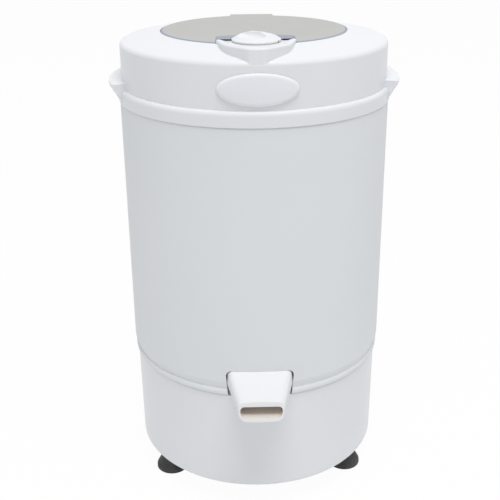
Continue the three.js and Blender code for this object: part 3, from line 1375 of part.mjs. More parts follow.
function brakeSpring() {
  console.log(`brake spring: least gap between curls ${(SPRING_PITCH - 2 * SPRING_WIRE).toFixed(2)} mm`);
  return wireAlong(new SpringLine(), SPRING_WIRE, 5, 8 * SPRING_CURLS);
}

// From under the knob boss, down between tub and cabinet, to the clip on the
// motor plate.
function cablePath() {
  const clipHeight = PLATE_TOP + CLIP_HEIGHT / 2;
  const armHeight = KNOB_SHAFT_BOTTOM + 1 + ARM_THICKNESS / 2;
  const dropTop = KNOB_SHAFT_BOTTOM - CABLE_BEND + 2;
  const dropBottom = BASE_TOP + UPSTAND_HEIGHT + CABLE_BEND;
  const drops = [0, 0.1, 0.2, 0.36, 0.57, 0.87].map((share) => around(
    CABLE_CIRCLE,
    THREE.MathUtils.lerp(CABLE_CROSSING_ANGLE + 4, CLIP_ANGLE, Math.min(1, share / 0.56)),
    THREE.MathUtils.lerp(dropTop, dropBottom, share),
  ));
  return new THREE.CatmullRomCurve3([
    new THREE.Vector3(ARM_LENGTH + 10, KNOB_Y - 13, armHeight),
    new THREE.Vector3(ARM_LENGTH + 22, KNOB_Y - 18, armHeight),
    around(CABLE_CROSSING_RADIUS, CABLE_CROSSING_ANGLE, KNOB_SHAFT_BOTTOM + 1),
    ...drops,
    around(CABLE_CIRCLE - 2, CLIP_ANGLE, dropBottom),
    around(DECK_HOLE_CIRCLE, CLIP_ANGLE, BASE_TOP - BASE_WALL),
    around(DECK_HOLE_CIRCLE - CABLE_BEND, CLIP_ANGLE, clipHeight + 6),
    around(CLIP_OUTER + CABLE_BEND + 4, CLIP_ANGLE, clipHeight),
    around(CLIP_OUTER + SEAT_GAP, CLIP_ANGLE, clipHeight),
  ]);
}

function brakeCable() {
  return wireAlong(cablePath(), CABLE_RADIUS, 6, CABLE_STEPS);
}

// ---------------------------------------------------------------- electrical

function runCapacitor() {
  const bottom = BASE_FLOOR + BASE_WALL + SEAT_GAP;
  const can = revolve(rounded([
    [0, bottom],
    [CAPACITOR_RADIUS, bottom, 2],
    [CAPACITOR_RADIUS, bottom + CAPACITOR_HEIGHT, 2],
    [0, bottom + CAPACITOR_HEIGHT],
  ]), SMALL_FACETS);
  const tags = [-6, 6].map((x) => box(x - 3, x + 3, -0.5, 0.5, bottom + CAPACITOR_HEIGHT - 1,
    bottom + CAPACITOR_HEIGHT + 9));
  return moved(join(can, ...tags), around(CAPACITOR_CIRCLE, CAPACITOR_ANGLE));
}

function cordGland() {
  const outside = BASE_BOTTOM_RADIUS + 0.9;
  return revolve(rounded([
    [GLAND_BORE, -8],
    [GLAND_RADIUS, -8],
    [GLAND_RADIUS, SEAT_GAP],
    [GLAND_FLANGE_RADIUS, SEAT_GAP],
    [GLAND_FLANGE_RADIUS, 3, 1],
    [GLAND_BORE, 3],
  ]), 16).rotate([-90, 0, 0]).translate([0, outside, GLAND_HEIGHT]);
}

// ---------------------------------------------------------------- assembly

add('base_housing', baseHousing(), WHITE_PLASTIC, 0.4);
add('base_floor', baseFloor(), WHITE_PLASTIC, 0.45);
add('body_shell', bodyShell(), WHITE_PAINT, 0.2);
add('top_housing', topHousing(), WHITE_PLASTIC, 0.35);
add('badge_plate', badgePlate(), WHITE_PLASTIC, 0.3);
add('lid_panel', lidPanel(), SMOKED, 0.25);
add('hinge_pin', hingePin(), STEEL, 0.3, 1);
add('lid_knob', knob(), WHITE_PLASTIC, 0.25);
add('knob_shaft', knobShaft(), DARK_PLASTIC, 0.5);
add('lock_cam', lockCam(), DARK_PLASTIC, 0.5);
add('cable_arm', cableArm(), DARK_PLASTIC, 0.5);
add('safety_switch', safetySwitch(), DARK_PLASTIC, 0.5);
add('drain_spout', drainSpout(), WHITE_PLASTIC, 0.3);
add('water_tub', waterTub(), WHITE_PLASTIC, 0.45);
add('tub_seal', tubSeal(), BLACK_RUBBER, 0.7);
add('spin_drum', spinDrum(), STEEL, 0.3, 1);
add('drum_floor', drumFloor(), STEEL, 0.3, 1);
add('drum_ring', drumRing(), WHITE_PLASTIC, 0.4);
add('drum_hub', drumHub(), CAST_ALUMINIUM, 0.5, 1);
add('drum_nut', drumNut(), STEEL, 0.35, 1);
add('drive_shaft', driveShaft(), STEEL, 0.25, 1);
add('upper_bearing', bearing(upperBearingTop - BEARING_HEIGHT - SEAT_GAP), STEEL, 0.3, 1);
add('lower_bearing', bearing(lowerBearingBottom), STEEL, 0.3, 1);
add('motor_housing', motorHousing(), CAST_ALUMINIUM, 0.5, 1);
add('motor_end_cap', motorEndCap(), CAST_ALUMINIUM, 0.5, 1);
add('stator_core', statorCore(), STEEL, 0.6, 1);
add('rotor_core', rotorCore(), STEEL, 0.5, 1);
add('motor_plate', motorPlate(), STEEL, 0.45, 1);
add('brake_disc', brakeDisc(), STEEL, 0.4, 1);
add('brake_lever', brakeLever(), STEEL, 0.45, 1);
add('brake_pivot', brakePivot(), STEEL, 0.35, 1);
add('brake_spring', brakeSpring(), STEEL, 0.3, 1);
add('brake_cable', brakeCable(), BLACK_RUBBER, 0.6);
add('run_capacitor', runCapacitor(), DARK_PLASTIC, 0.5);
add('cord_gland', cordGland(), BLACK_RUBBER, 0.7);

feetAngles.forEach((angle, i) => {
  add(`foot_${i + 1}`, moved(foot(), around(FOOT_CIRCLE, angle)), BLACK_RUBBER, 0.7);
  add(`foot_screw_${i + 1}`, moved(footScrew(), around(FOOT_CIRCLE, angle)), STEEL, 0.35, 1);
});
mountAngles.forEach((angle, i) => {
  add(`rubber_mount_${i + 1}`, moved(rubberMount(), around(MOUNT_CIRCLE, angle)), BLACK_RUBBER, 0.8);
  add(`mount_bolt_${i + 1}`, moved(mountBolt(), around(MOUNT_CIRCLE, angle)), STEEL, 0.35, 1);
});

// The origin lies on the floor in the middle of the whole outline.
model.position.y = AXIS_OFFSET;
model.updateMatrixWorld(true);

export default model;
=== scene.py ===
"""Looks of the laundry spin dryer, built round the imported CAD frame."""

import json
import math

import bmesh
import bpy
from mathutils import Matrix, Vector


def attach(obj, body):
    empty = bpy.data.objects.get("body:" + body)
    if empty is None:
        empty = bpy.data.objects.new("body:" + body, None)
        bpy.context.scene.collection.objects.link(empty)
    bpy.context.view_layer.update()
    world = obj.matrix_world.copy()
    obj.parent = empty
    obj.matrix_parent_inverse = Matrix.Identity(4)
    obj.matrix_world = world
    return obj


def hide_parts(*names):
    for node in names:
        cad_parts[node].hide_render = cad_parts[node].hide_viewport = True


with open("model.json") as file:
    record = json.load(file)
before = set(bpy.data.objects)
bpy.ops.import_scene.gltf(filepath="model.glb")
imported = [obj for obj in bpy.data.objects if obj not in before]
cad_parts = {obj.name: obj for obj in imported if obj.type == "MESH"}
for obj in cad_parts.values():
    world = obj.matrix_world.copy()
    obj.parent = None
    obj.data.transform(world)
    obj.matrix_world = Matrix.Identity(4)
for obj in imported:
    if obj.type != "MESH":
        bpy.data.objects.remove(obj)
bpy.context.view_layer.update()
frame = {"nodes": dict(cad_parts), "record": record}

# ---------------------------------------------------------------- sizes, mm

MM = 0.001
AXIS_Y = 27.9

ROUND_STEPS = 160
SMALL_STEPS = 64

BODY_R = 175.0
BODY_SHEET = 1.2
NECK_R = 171.6
BODY_BOTTOM = 176.3
BODY_TOP = 532.1
BEAD_R = 4.6
BEAD_BULGE = 2.4
NECK_HEIGHT = 12.0
EDGE_CURL = 1.6
EDGE_CURL_IN = 0.9
SLOT_HALF_W = 44.2
SLOT_TOP = 214.0
SLOT_TAPER = 8.5
SLOT_ROUND = 8.0

BASE_FLOOR = 33.0
BASE_TOP = 175.4
BASE_TOP_R = 171.3
BASE_BOTTOM_R = 170.1
BASE_WALL = 3.0
BASE_EDGE = 5.0
BASE_RIM_R = 158.1
BASE_VENT_R = 62.0
VENT_RIM = 3.0
VENT_RIM_HEIGHT = 4.0
DECK_INNER_R = 146.3
UPSTAND_HEIGHT = 11.0
UPSTAND_WALL = 2.0
SEAT_GAP = 0.3

FOOT_CIRCLE = 145.0
FOOT_ANGLES = (60, 180, 300)
FOOT_BOSS_R = 12.0
FOOT_BOSS_TOP = 53.0
FOOT_PROFILE = (
    (3.3, 13),
    (7, 13, 0.8),
    (7, 5),
    (15.5, 0.0, 1),
    (21.8, 0.0, 0.7),
    (22.7, 1.2, 0.8),
    (22.4, 6, 2.5),
    (14.6, 20, 8),
    (13.5, 32.7, 0.6),
    (3.3, 32.7),
)

MOUNT_CIRCLE = 100.0
MOUNT_ANGLES = (120, 240, 0)
PILLAR_FOOT_R = 16.0
PILLAR_TOP_R = 12.0
PILLAR_TOP = 118.0
PILLAR_HOLE_FLOOR = 98.0
SCREW_HOLE_R = 3.3
INTO_FLOOR = 1.0

AIR_SLOT_CIRCLE = 122.0
AIR_SLOT_TURNS = (-24, -12, 12, 24)
AIR_SLOT_HALF_W = 3.0
AIR_SLOT_HALF_L = 17.0
AIR_SLOT_ROUND = 2.9

GLAND_Z = 70.0
GLAND_HOLE_R = 7.3
GLAND_BORE_R = 4.0
GLAND_NECK_R = 7.0
GLAND_FLANGE_R = 10.0
GLAND_NECK_DEPTH = 6.0
GLAND_FLANGE_OUT = 4.6

COLLAR_BOTTOM = 532.4
COLLAR_R = 176.2
COLLAR_RIM = 551.6
COLLAR_ROLL = 5.6
TONGUE_DEPTH = 18.0
TONGUE_INNER_R = 171.2
TONGUE_OUTER_R = 173.5
SKIRT_R = 171.8
SKIRT_INNER_R = 168.8
TOP_WALL = 3.0
SHOULDER_ROUND = 6.0
RING_EDGE = 119.6
LID_TOP = 618.5
LID_R = 119.0
LID_THICK = 3.0
LID_BEVEL = 2.2
SEAT_LEVEL = 615.2
MOUTH_R = 95.0
MOUTH_WALL = 2.6
SPLASH_BOTTOM = 572.0
TUB_RIB_INNER_R = 155.1
TUB_RIB_OUTER_R = 157.6
TUB_RIB_BOTTOM = 562.0

GRIP_R = 188.0
GRIP_TOP = 560.6
GRIP_NOSE = 4.4
GRIP_FOOT = 535.5
GRIP_HALF_ANGLE = 19.0
GRIP_STEPS = 24

BOSS_TOP = 620.5
BOSS_REAR_Y = -108.5
BOSS_CREST = 622.2
BOSS_EDGE = 2.6
BOSS_RIM = 12.0
BOSS_PLAN = (
    (0.0, 171.4),
    (5.0, 171.3),
    (10.4, 170.2),
    (15.0, 167.0),
    (19.0, 162.8),
    (23.6, 158.0),
    (28.8, 152.8),
    (34.2, 146.6),
    (38.6, 139.4),
    (41.6, 131.0),
    (43.9, 121.6),
    (45.8, 114.0),
    (47.1, 108.5),
)
BOSS_WALL = 3.0
NECK_HALF_W = 20.0
NECK_FOOT = 590.0
NECK_REAR_Y = -156.3
NECK_INSET = 0.05
POCKET_FLOOR = 604.3
POCKET_GAP = 0.6
POCKET_WALL = 2.6

KNOB_Y = -113.0
KNOB_R = 29.0
KNOB_BOTTOM = 620.8
KNOB_HEIGHT = 10.6
KNOB_RIM = 2.4
KNOB_RIDGE = 2.6
KNOB_SCOOP = (21.0, 10.0, 8.4)
KNOB_SCOOP_FLOOR = 2.2
KNOB_ANGLE = -30.0
POINTER_DEPTH = 3.4
POINTER_HALF_W = 2.0

NOTCH_HALF_W = 47.8
NOTCH_REAR_Y = -76.5
NOTCH_BEVEL = 13.0
NOTCH_BEVEL_DEPTH = 2.7
NOTCH_ARCH = 11.0
NOTCH_WALL = 2.2
SLIT = (-33.0, 9.0)
SLIT_BOTTOM = 607.8
SLIT_TOP = 613.0
FLANGE_GAP = 2.4
FLANGE_WALL = 2.2
FLANGE_DEPTH = 8.0

HINGE_Y = 128.2
HINGE_Z = 612.4
TAB_HALF_W = 30.0
TAB_FRONT = 22.0
TAB_REAR = 3.5
TAB_ROUND = 4.0
TAB_DROP = 0.4
BARREL_R = 5.6
BARREL_STEPS = 32
WELL_HALF_W = 35.0
WELL_FRONT = 23.0
WELL_REAR = 11.6
WELL_BOTTOM = 599.0

BADGE_HALF_W = 47.6
BADGE_HALF_H = 18.9
BADGE_Z = 576.0
BADGE_ROLL = 5.0
BADGE_EDGE = 0.5
BADGE_RISE = 2.9
BADGE_CROWN = 0.45
BADGE_STEPS = 96

SPOUT_REACH = 232.0
SPOUT_CROWN = 1.8
SPOUT_LEAN = 5.0
SPOUT_LIP = 1.2
# half width at the top and at the foot, lower and upper height
SPOUT_ROOT = (39.4, 41.5, 186.0, 212.4)
SPOUT_MOUTH = (29.2, 27.0, 177.7, 201.1)
SPOUT_ROUNDS = (7.0, 8.5)
CHANNEL_ROUNDS = (5.0, 6.5)
CHANNEL_SIDE = 2.0
CHANNEL_FLOOR = 4.9
CHANNEL_ROOF = 4.4
CHANNEL_CROWN = 0.65
CORNER_STEPS = 9
RUN_STEPS = 14
TUB_OUTER = 154.5

DRUM_R = 127.0
DRUM_WALL = 1.0
DRUM_BOTTOM = 226.3
DRUM_SEAM = 241.3
DRUM_TOP = 556.0
DRUM_LIP = 8.0
DRUM_COLUMNS = 24
DRUM_ROWS = 11
HOLE_R = 2.6
HOLE_STEPS = 16
DRUM_RING_INNER = 104.0
DRUM_RING_OUTER = 128.0
DRUM_RING_TOP = 568.0
FLOOR_RADII = (110, 104, 100, 96, 92, 86, 60, 54, 50, 46, 42, 36, 22)
FLOOR_RINGS = (98, 48)
FLOOR_RING_HEIGHT = 1.6
FLOOR_RING_WIDTH = 4.0
SHAFT_HOLE_R = 8.3
NUT_FLANGE_R = 21.0
NUT_FLANGE = 3.0
NUT_R = 15.0

CAP_TOP = 63.7
CAP_WALL = 5.0
CAP_R = 66.0
CAP_HOLE_R = 17.3
CAP_SEAT_R = 20.3
CAP_SEAT_HEIGHT = 8.0
CAP_RIBS = 12
CAP_RIB_HALF_W = 1.2

# ---------------------------------------------------------------- mesh helpers


def at(x, y, z):
    """A point given in mm from the drum's axis, in the frame's metres."""
    return Vector((x * MM, (y + AXIS_Y) * MM, z * MM))


def rounded(corners, step=12.0):
    """A closed 2-D outline from corners (x, y, fillet, steps in the fillet)."""
    points = []
    for i, corner in enumerate(corners):
        here = Vector(corner[:2])
        fillet = corner[2] if len(corner) > 2 else 0
        if not fillet:
            points.append(here)
            continue
        before = (Vector(corners[i - 1][:2]) - here).normalized()
        after = (Vector(corners[(i + 1) % len(corners)][:2]) - here).normalized()
        half = math.acos(max(-1, min(1, before.dot(after)))) / 2
        centre = here + (before + after).normalized() * fillet / math.sin(half)
        start = here + before * fillet / math.tan(half) - centre
        end = here + after * fillet / math.tan(half) - centre
        sweep = math.atan2(start.x * end.y - start.y * end.x, start.dot(end))
        count = corner[3] if len(corner) > 3 else max(2, round(abs(math.degrees(sweep)) / step))
        first = math.atan2(start.y, start.x)
        for k in range(count + 1):
            angle = first + sweep * k / count
            points.append(centre + fillet * Vector((math.cos(angle), math.sin(angle))))
    return points


def mesh_object(name, verts, faces, weld=1e-7):
    mesh = bpy.data.meshes.new(name)
    mesh.from_pydata(verts, [], faces)
    bm = bmesh.new()
    bm.from_mesh(mesh)
    bmesh.ops.remove_doubles(bm, verts=bm.verts, dist=weld)
    bmesh.ops.recalc_face_normals(bm, faces=bm.faces)
    bm.to_mesh(mesh)
    bm.free()
    piece = bpy.data.objects.new(name, mesh)
    bpy.context.collection.objects.link(piece)
    return piece


def revolve(name, outline, steps=ROUND_STEPS, centre=(0, 0)):
    """A closed (radius, height) outline turned about an upright axis."""
    verts = []
    for k in range(steps):
        angle = 2 * math.pi * k / steps
        for p in outline:
            verts.append(at(centre[0] + p[0] * math.sin(angle), centre[1] - p[0] * math.cos(angle), p[1]))
    n = len(outline)
    faces = []
    for k in range(steps):
        for i in range(n):
            j = (i + 1) % n
            if outline[i][0] < 1e-6 and outline[j][0] < 1e-6:
                continue
            a, b = k * n, ((k + 1) % steps) * n
            faces.append((a + i, b + i, b + j, a + j))
    return mesh_object(name, verts, faces)


def loft(name, sections):
    """A closed skin over rings of points that all have the same count."""
    n = len(sections[0])
    last = (len(sections) - 1) * n
    verts = [at(*p) for ring in sections for p in ring]
    faces = []
    for s in range(len(sections) - 1):
        for i in range(n):
            j = (i + 1) % n
            faces.append((s * n + i, s * n + j, (s + 1) * n + j, (s + 1) * n + i))
    faces.append(tuple(range(n)))
    faces.append(tuple(last + i for i in range(n)))
    return mesh_object(name, verts, faces)


def box(name, x0, x1, y0, y1, z0, z1):
    ring = [(x0, y0), (x1, y0), (x1, y1), (x0, y1)]
    return loft(name, [[(x, y, z) for x, y in ring] for z in (z0, z1)])


def evaluated(piece):
    """Applies the piece's modifiers to its mesh."""
    graph = bpy.context.evaluated_depsgraph_get()
    mesh = bpy.data.meshes.new_from_object(piece.evaluated_get(graph))
    piece.modifiers.clear()
    piece.data = mesh
    return piece


def combine(piece, others, operation):
    """Joins solids to the piece or cuts them out of it."""
    for other in others:
        step = piece.modifiers.new("combine", "BOOLEAN")
        step.operation = operation
        step.solver = "EXACT"
        step.object = other
        bpy.context.view_layer.update()
        evaluated(piece)
        bpy.data.objects.remove(other)
    return piece


def soften(piece, width=0.5, segments=2, angle=35):
    """Rounds the sharp edges, then shades the rest smooth."""
    step = piece.modifiers.new("round", "BEVEL")
    step.width = width * MM
    step.segments = segments
    step.limit_method = "ANGLE"
    step.angle_limit = math.radians(angle)
    step.harden_normals = False
    bpy.context.view_layer.update()
    return shade(evaluated(piece), angle)


def shade(piece, angle=35):
    """Smooth shading between sharp edges, led by the larger faces."""
    piece.data.shade_smooth()
    piece.data.set_sharp_from_angle(angle=math.radians(angle))
    step = piece.modifiers.new("shading", "WEIGHTED_NORMAL")
    step.weight = 80
    step.keep_sharp = True
    return piece


def turns(count):
    """Angles that go once round in even steps."""
    return [2 * math.pi * k / count for k in range(count)]


def quarter(count):
    """Angles from just above zero to a right angle."""
    return [math.pi / 2 * k / count for k in range(1, count + 1)]


def around(radius, degrees, z=0.0):
    """A point round the drum's axis, its angle counted from the front towards +X."""
    angle = math.radians(degrees)
    return (radius * math.sin(angle), -radius * math.cos(angle), z)


# ---------------------------------------------------------------- materials


def node(tree, kind, **inputs):
    """A shader node with some of its sockets set by name."""
    made = tree.nodes.new(kind)
    for key, value in inputs.items():
        made.inputs[key.replace("_", " ")].default_value = value
    return made


def material(name):
    """A material with an empty principled surface."""
    made = bpy.data.materials.new(name)
    made.use_nodes = True
    tree = made.node_tree
    tree.nodes.clear()
    out = tree.nodes.new("ShaderNodeOutputMaterial")
    surface = tree.nodes.new("ShaderNodeBsdfPrincipled")
    tree.links.new(surface.outputs["BSDF"], out.inputs["Surface"])
    return made, tree, surface


def ramp(tree, source, low, high):
    """A two-colour ramp driven by a value."""
    made = tree.nodes.new("ShaderNodeValToRGB")
    made.color_ramp.elements[0].position = 0.3
    made.color_ramp.elements[0].color = low
    made.color_ramp.elements[1].position = 0.7
    made.color_ramp.elements[1].color = high
    tree.links.new(source, made.inputs["Fac"])
    return made.outputs["Color"]


def grey(value):
    return (value, value, value, 1.0)


def noise(tree, scale, detail=3.0, stretch=(1, 1, 1)):
    """Noise in object space, with an optional stretch along an axis."""
    place = tree.nodes.new("ShaderNodeTexCoord")
    mapping = tree.nodes.new("ShaderNodeMapping")
    mapping.inputs["Scale"].default_value = stretch
    tree.links.new(place.outputs["Object"], mapping.inputs["Vector"])
    made = node(tree, "ShaderNodeTexNoise", Scale=scale, Detail=detail)
    tree.links.new(mapping.outputs["Vector"], made.inputs["Vector"])
    return made.outputs["Fac"]


def bump(tree, surface, height, strength, distance):
    made = node(tree, "ShaderNodeBump", Strength=strength, Distance=distance)
    tree.links.new(height, made.inputs["Height"])
    tree.links.new(made.outputs["Normal"], surface.inputs["Normal"])


def moulded_plastic(name, low, high, roughness, grain=0.02):
    """Moulded plastic: faint colour drift and a fine mould grain."""
    made, tree, surface = material(name)
    drift = noise(tree, 9.0)
    tree.links.new(ramp(tree, drift, low, high), surface.inputs["Base Color"])
    fine = noise(tree, 900.0, 2.0)
    sheen = ramp(tree, noise(tree, 30.0), grey(roughness - 0.015), grey(roughness + 0.02))
    tree.links.new(sheen, surface.inputs["Roughness"])
    surface.inputs["Specular IOR Level"].default_value = 0.15
    bump(tree, surface, fine, grain, 0.0001)
    return made


def painted_sheet(name, low, high):
    """Satin paint on rolled sheet, with faint waves along the sheet."""
    made, tree, surface = material(name)
    drift = noise(tree, 5.0)
    tree.links.new(ramp(tree, drift, low, high), surface.inputs["Base Color"])
    surface.inputs["Roughness"].default_value = 0.5
    surface.inputs["Specular IOR Level"].default_value = 0.1
    waves = noise(tree, 14.0, 2.0, (1.0, 1.0, 0.12))
    bump(tree, surface, waves, 0.12, 0.0006)
    return made


def rubber(name):
    """Black rubber with a dusty bloom and a matt grain."""
    made, tree, surface = material(name)
    dust = ramp(tree, noise(tree, 60.0, 5.0), (0.02, 0.02, 0.022, 1), (0.05, 0.05, 0.052, 1))
    tree.links.new(dust, surface.inputs["Base Color"])
    tree.links.new(ramp(tree, noise(tree, 90.0), grey(0.5), grey(0.7)), surface.inputs["Roughness"])
    bump(tree, surface, noise(tree, 900.0), 0.2, 0.0002)
    return made


def metal(name, low, high, roughness, stretch=(1, 1, 1), scale=200.0, strength=0.08):
    """Bare metal with turning or rolling marks along one direction."""
    made, tree, surface = material(name)
    marks = noise(tree, scale, 4.0, stretch)
    tree.links.new(ramp(tree, marks, low, high), surface.inputs["Base Color"])
    sheen = ramp(tree, marks, grey(roughness - 0.07), grey(roughness + 0.1))
    tree.links.new(sheen, surface.inputs["Roughness"])
    surface.inputs["Metallic"].default_value = 1.0
    bump(tree, surface, marks, strength, 0.0002)
    return made


WHITE = moulded_plastic("white_plastic", (0.785, 0.80, 0.825, 1), (0.80, 0.813, 0.836, 1), 0.3)
SPOUT_WHITE = moulded_plastic("spout_plastic", (0.80, 0.808, 0.82, 1), (0.815, 0.822, 0.834, 1), 0.34)
# Painted light: a warm, light tone for the glow through the spout's translucent walls, with some water
# staining.
SPOUT_INSIDE_GLOW = moulded_plastic("spout_inside_painted_glow", (0.78, 0.71, 0.64, 1), (0.81, 0.74, 0.67, 1), 0.5)
# Painted light: the badge plastic is set lighter than the white moulding for the extra light its raised
# face catches.
BADGE_WHITE_LIT = moulded_plastic("badge_plastic_painted_light", (0.825, 0.832, 0.87, 1), (0.835, 0.842, 0.88, 1), 0.28)
GREY_PLASTIC = moulded_plastic("grey_plastic", (0.6, 0.6, 0.59, 1), (0.63, 0.63, 0.62, 1), 0.45)
DARK_PLASTIC = moulded_plastic("dark_plastic", (0.03, 0.03, 0.034, 1), (0.045, 0.045, 0.05, 1), 0.45)
PAINT = painted_sheet("white_paint", (0.76, 0.785, 0.80, 1), (0.78, 0.80, 0.815, 1))
SMOKED = moulded_plastic("smoked_plastic", (0.445, 0.445, 0.435, 1), (0.465, 0.465, 0.455, 1), 0.42, 0.03)
# Painted shade: the lid's edges get this darker, bluer tone for the shade in the gaps and the notch round
# them.
SMOKED_EDGE_SHADE = moulded_plastic("smoked_edge_painted_shade", (0.3, 0.33, 0.41, 1), (0.32, 0.35, 0.43, 1), 0.4, 0.03)
RUBBER = rubber("black_rubber")
STEEL = metal("bright_steel", (0.5, 0.51, 0.52, 1), (0.62, 0.63, 0.64, 1), 0.25, (1, 1, 12))
CORE = metal("core_steel", (0.24, 0.24, 0.25, 1), (0.34, 0.34, 0.35, 1), 0.45)
CAST = metal("cast_metal", (0.36, 0.37, 0.38, 1), (0.46, 0.47, 0.48, 1), 0.5, scale=120.0, strength=0.3)


def finish(piece, body, look, cad_node):
    """Gives a piece its material and ties it to its CAD body and node."""
    piece.data.materials.clear()
    piece.data.materials.append(look)
    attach(piece, body)
    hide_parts(cad_node)
    return piece


# ---------------------------------------------------------------- cabinet


def ring_top(radius):
    """Height of the top ring, which falls a little faster towards its edge."""
    step = radius - RING_EDGE
    return LID_TOP - 0.8 - 0.18 * step - 0.0006 * step * step


def body_shell():
    """The rolled sheet: bead, neck, straight wall and curled upper edge."""
    middle = BODY_BOTTOM + BEAD_R
    line = []
    for k in range(13):
        angle = -math.pi / 2 + math.pi * k / 12
        line.append((NECK_R + BEAD_BULGE * math.cos(angle), middle + BEAD_R * math.sin(angle)))
    for k in range(1, 13):
        swell = (1 - math.cos(math.pi * k / 12)) / 2
        line.append((NECK_R + (BODY_R - NECK_R) * swell, middle + BEAD_R + NECK_HEIGHT * k / 12))
    low = middle + BEAD_R + NECK_HEIGHT
    for k in range(1, 9):
        line.append((BODY_R, low + (BODY_TOP - EDGE_CURL - low) * k / 8))
    for angle in quarter(4):
        curl_in = EDGE_CURL_IN * (1 - math.cos(angle))
        line.append((BODY_R - curl_in, BODY_TOP - EDGE_CURL * (1 - math.sin(angle))))
    inside = [(r - BODY_SHEET, z) for r, z in reversed(line)]
    shell = revolve("body_shell_look", line + inside)
    outline = rounded([
        (SLOT_TAPER - SLOT_HALF_W, 100),
        (SLOT_HALF_W - SLOT_TAPER, 100),
        (SLOT_HALF_W, SLOT_TOP, SLOT_ROUND),
        (-SLOT_HALF_W, SLOT_TOP, SLOT_ROUND),
    ])
    slot = loft("slot", [[(p.x, y, p.y) for p in outline] for y in (-300, -100)])
    combine(shell, [slot], "DIFFERENCE")
    return shade(shell, 40)


def base_housing():
    """The base's wall, with the deck and the upstand that the sheet sits round."""
    inner_top = BASE_TOP_R - BASE_WALL
    upstand = NECK_R - BODY_SHEET - SEAT_GAP
    floor_top = BASE_FLOOR + BASE_WALL
    shell = revolve("base_look", rounded([
        (BASE_RIM_R, BASE_FLOOR, 0.6),
        (BASE_BOTTOM_R, BASE_FLOOR, BASE_EDGE),
        (BASE_TOP_R, BASE_TOP, 1.6),
        (upstand, BASE_TOP),
        (upstand, BASE_TOP + UPSTAND_HEIGHT, 0.6),
        (upstand - UPSTAND_WALL, BASE_TOP + UPSTAND_HEIGHT, 0.6),
        (upstand - UPSTAND_WALL, BASE_TOP),
        (DECK_INNER_R, BASE_TOP),
        (DECK_INNER_R, BASE_TOP - BASE_WALL),
        (inner_top, BASE_TOP - BASE_WALL),
        (BASE_BOTTOM_R - BASE_WALL, floor_top, 3),
        (BASE_RIM_R, floor_top),
    ]))
    hole = [(GLAND_HOLE_R * math.cos(a), GLAND_Z + GLAND_HOLE_R * math.sin(a)) for a in turns(32)]
    gland_hole = loft("gland_hole", [[(x, y, z) for x, z in hole] for y in (140, 200)])
    gap = box("gap", -SLOT_HALF_W, SLOT_HALF_W, -300, -DECK_INNER_R, BASE_TOP, 300)
    combine(shell, [gap, gland_hole], "DIFFERENCE")
    return shade(shell, 40)


def base_floor():
    """The floor inside the rim, with foot bosses, pillars and air slots."""
    floor_top = BASE_FLOOR + BASE_WALL
    outer = BASE_RIM_R - SEAT_GAP
    plate = revolve("floor_look", rounded([
        (BASE_VENT_R, BASE_FLOOR, 1),
        (outer, BASE_FLOOR, 0.6),
        (outer, floor_top),
        (BASE_VENT_R + VENT_RIM, floor_top),
        (BASE_VENT_R + VENT_RIM, floor_top + VENT_RIM_HEIGHT, 0.6),
        (BASE_VENT_R, floor_top + VENT_RIM_HEIGHT, 0.6),
    ]))
    foot = BASE_FLOOR + INTO_FLOOR
    boss = [
        (SCREW_HOLE_R, foot),
        (FOOT_BOSS_R, foot),
        (FOOT_BOSS_R, FOOT_BOSS_TOP),
        (SCREW_HOLE_R, FOOT_BOSS_TOP),
    ]
    pillar = [
        (0, foot),
        (PILLAR_FOOT_R, foot),
        (PILLAR_TOP_R, PILLAR_TOP),
        (SCREW_HOLE_R, PILLAR_TOP),
        (SCREW_HOLE_R, PILLAR_HOLE_FLOOR),
        (0, PILLAR_HOLE_FLOOR),
    ]
    posts = [revolve("boss", boss, SMALL_STEPS, around(FOOT_CIRCLE, a)[:2]) for a in FOOT_ANGLES]
    posts += [revolve("pillar", pillar, SMALL_STEPS, around(MOUNT_CIRCLE, a)[:2]) for a in MOUNT_ANGLES]
    combine(plate, posts, "UNION")
    air_slot = rounded([
        (-AIR_SLOT_HALF_W, -AIR_SLOT_HALF_L, AIR_SLOT_ROUND),
        (AIR_SLOT_HALF_W, -AIR_SLOT_HALF_L, AIR_SLOT_ROUND),
        (AIR_SLOT_HALF_W, AIR_SLOT_HALF_L, AIR_SLOT_ROUND),
        (-AIR_SLOT_HALF_W, AIR_SLOT_HALF_L, AIR_SLOT_ROUND),
    ], 30)
    cutters = []
    for middle in MOUNT_ANGLES:
        for turn in AIR_SLOT_TURNS:
            turned = Matrix.Rotation(math.radians(middle + turn), 2)
            cx, cy, _ = around(AIR_SLOT_CIRCLE, middle + turn)
            ring = [turned @ p for p in air_slot]
            cutters.append(loft("vent", [[(p.x + cx, p.y + cy, z) for p in ring] for z in (30, 39)]))
    combine(plate, cutters, "DIFFERENCE")
    return shade(plate, 40)


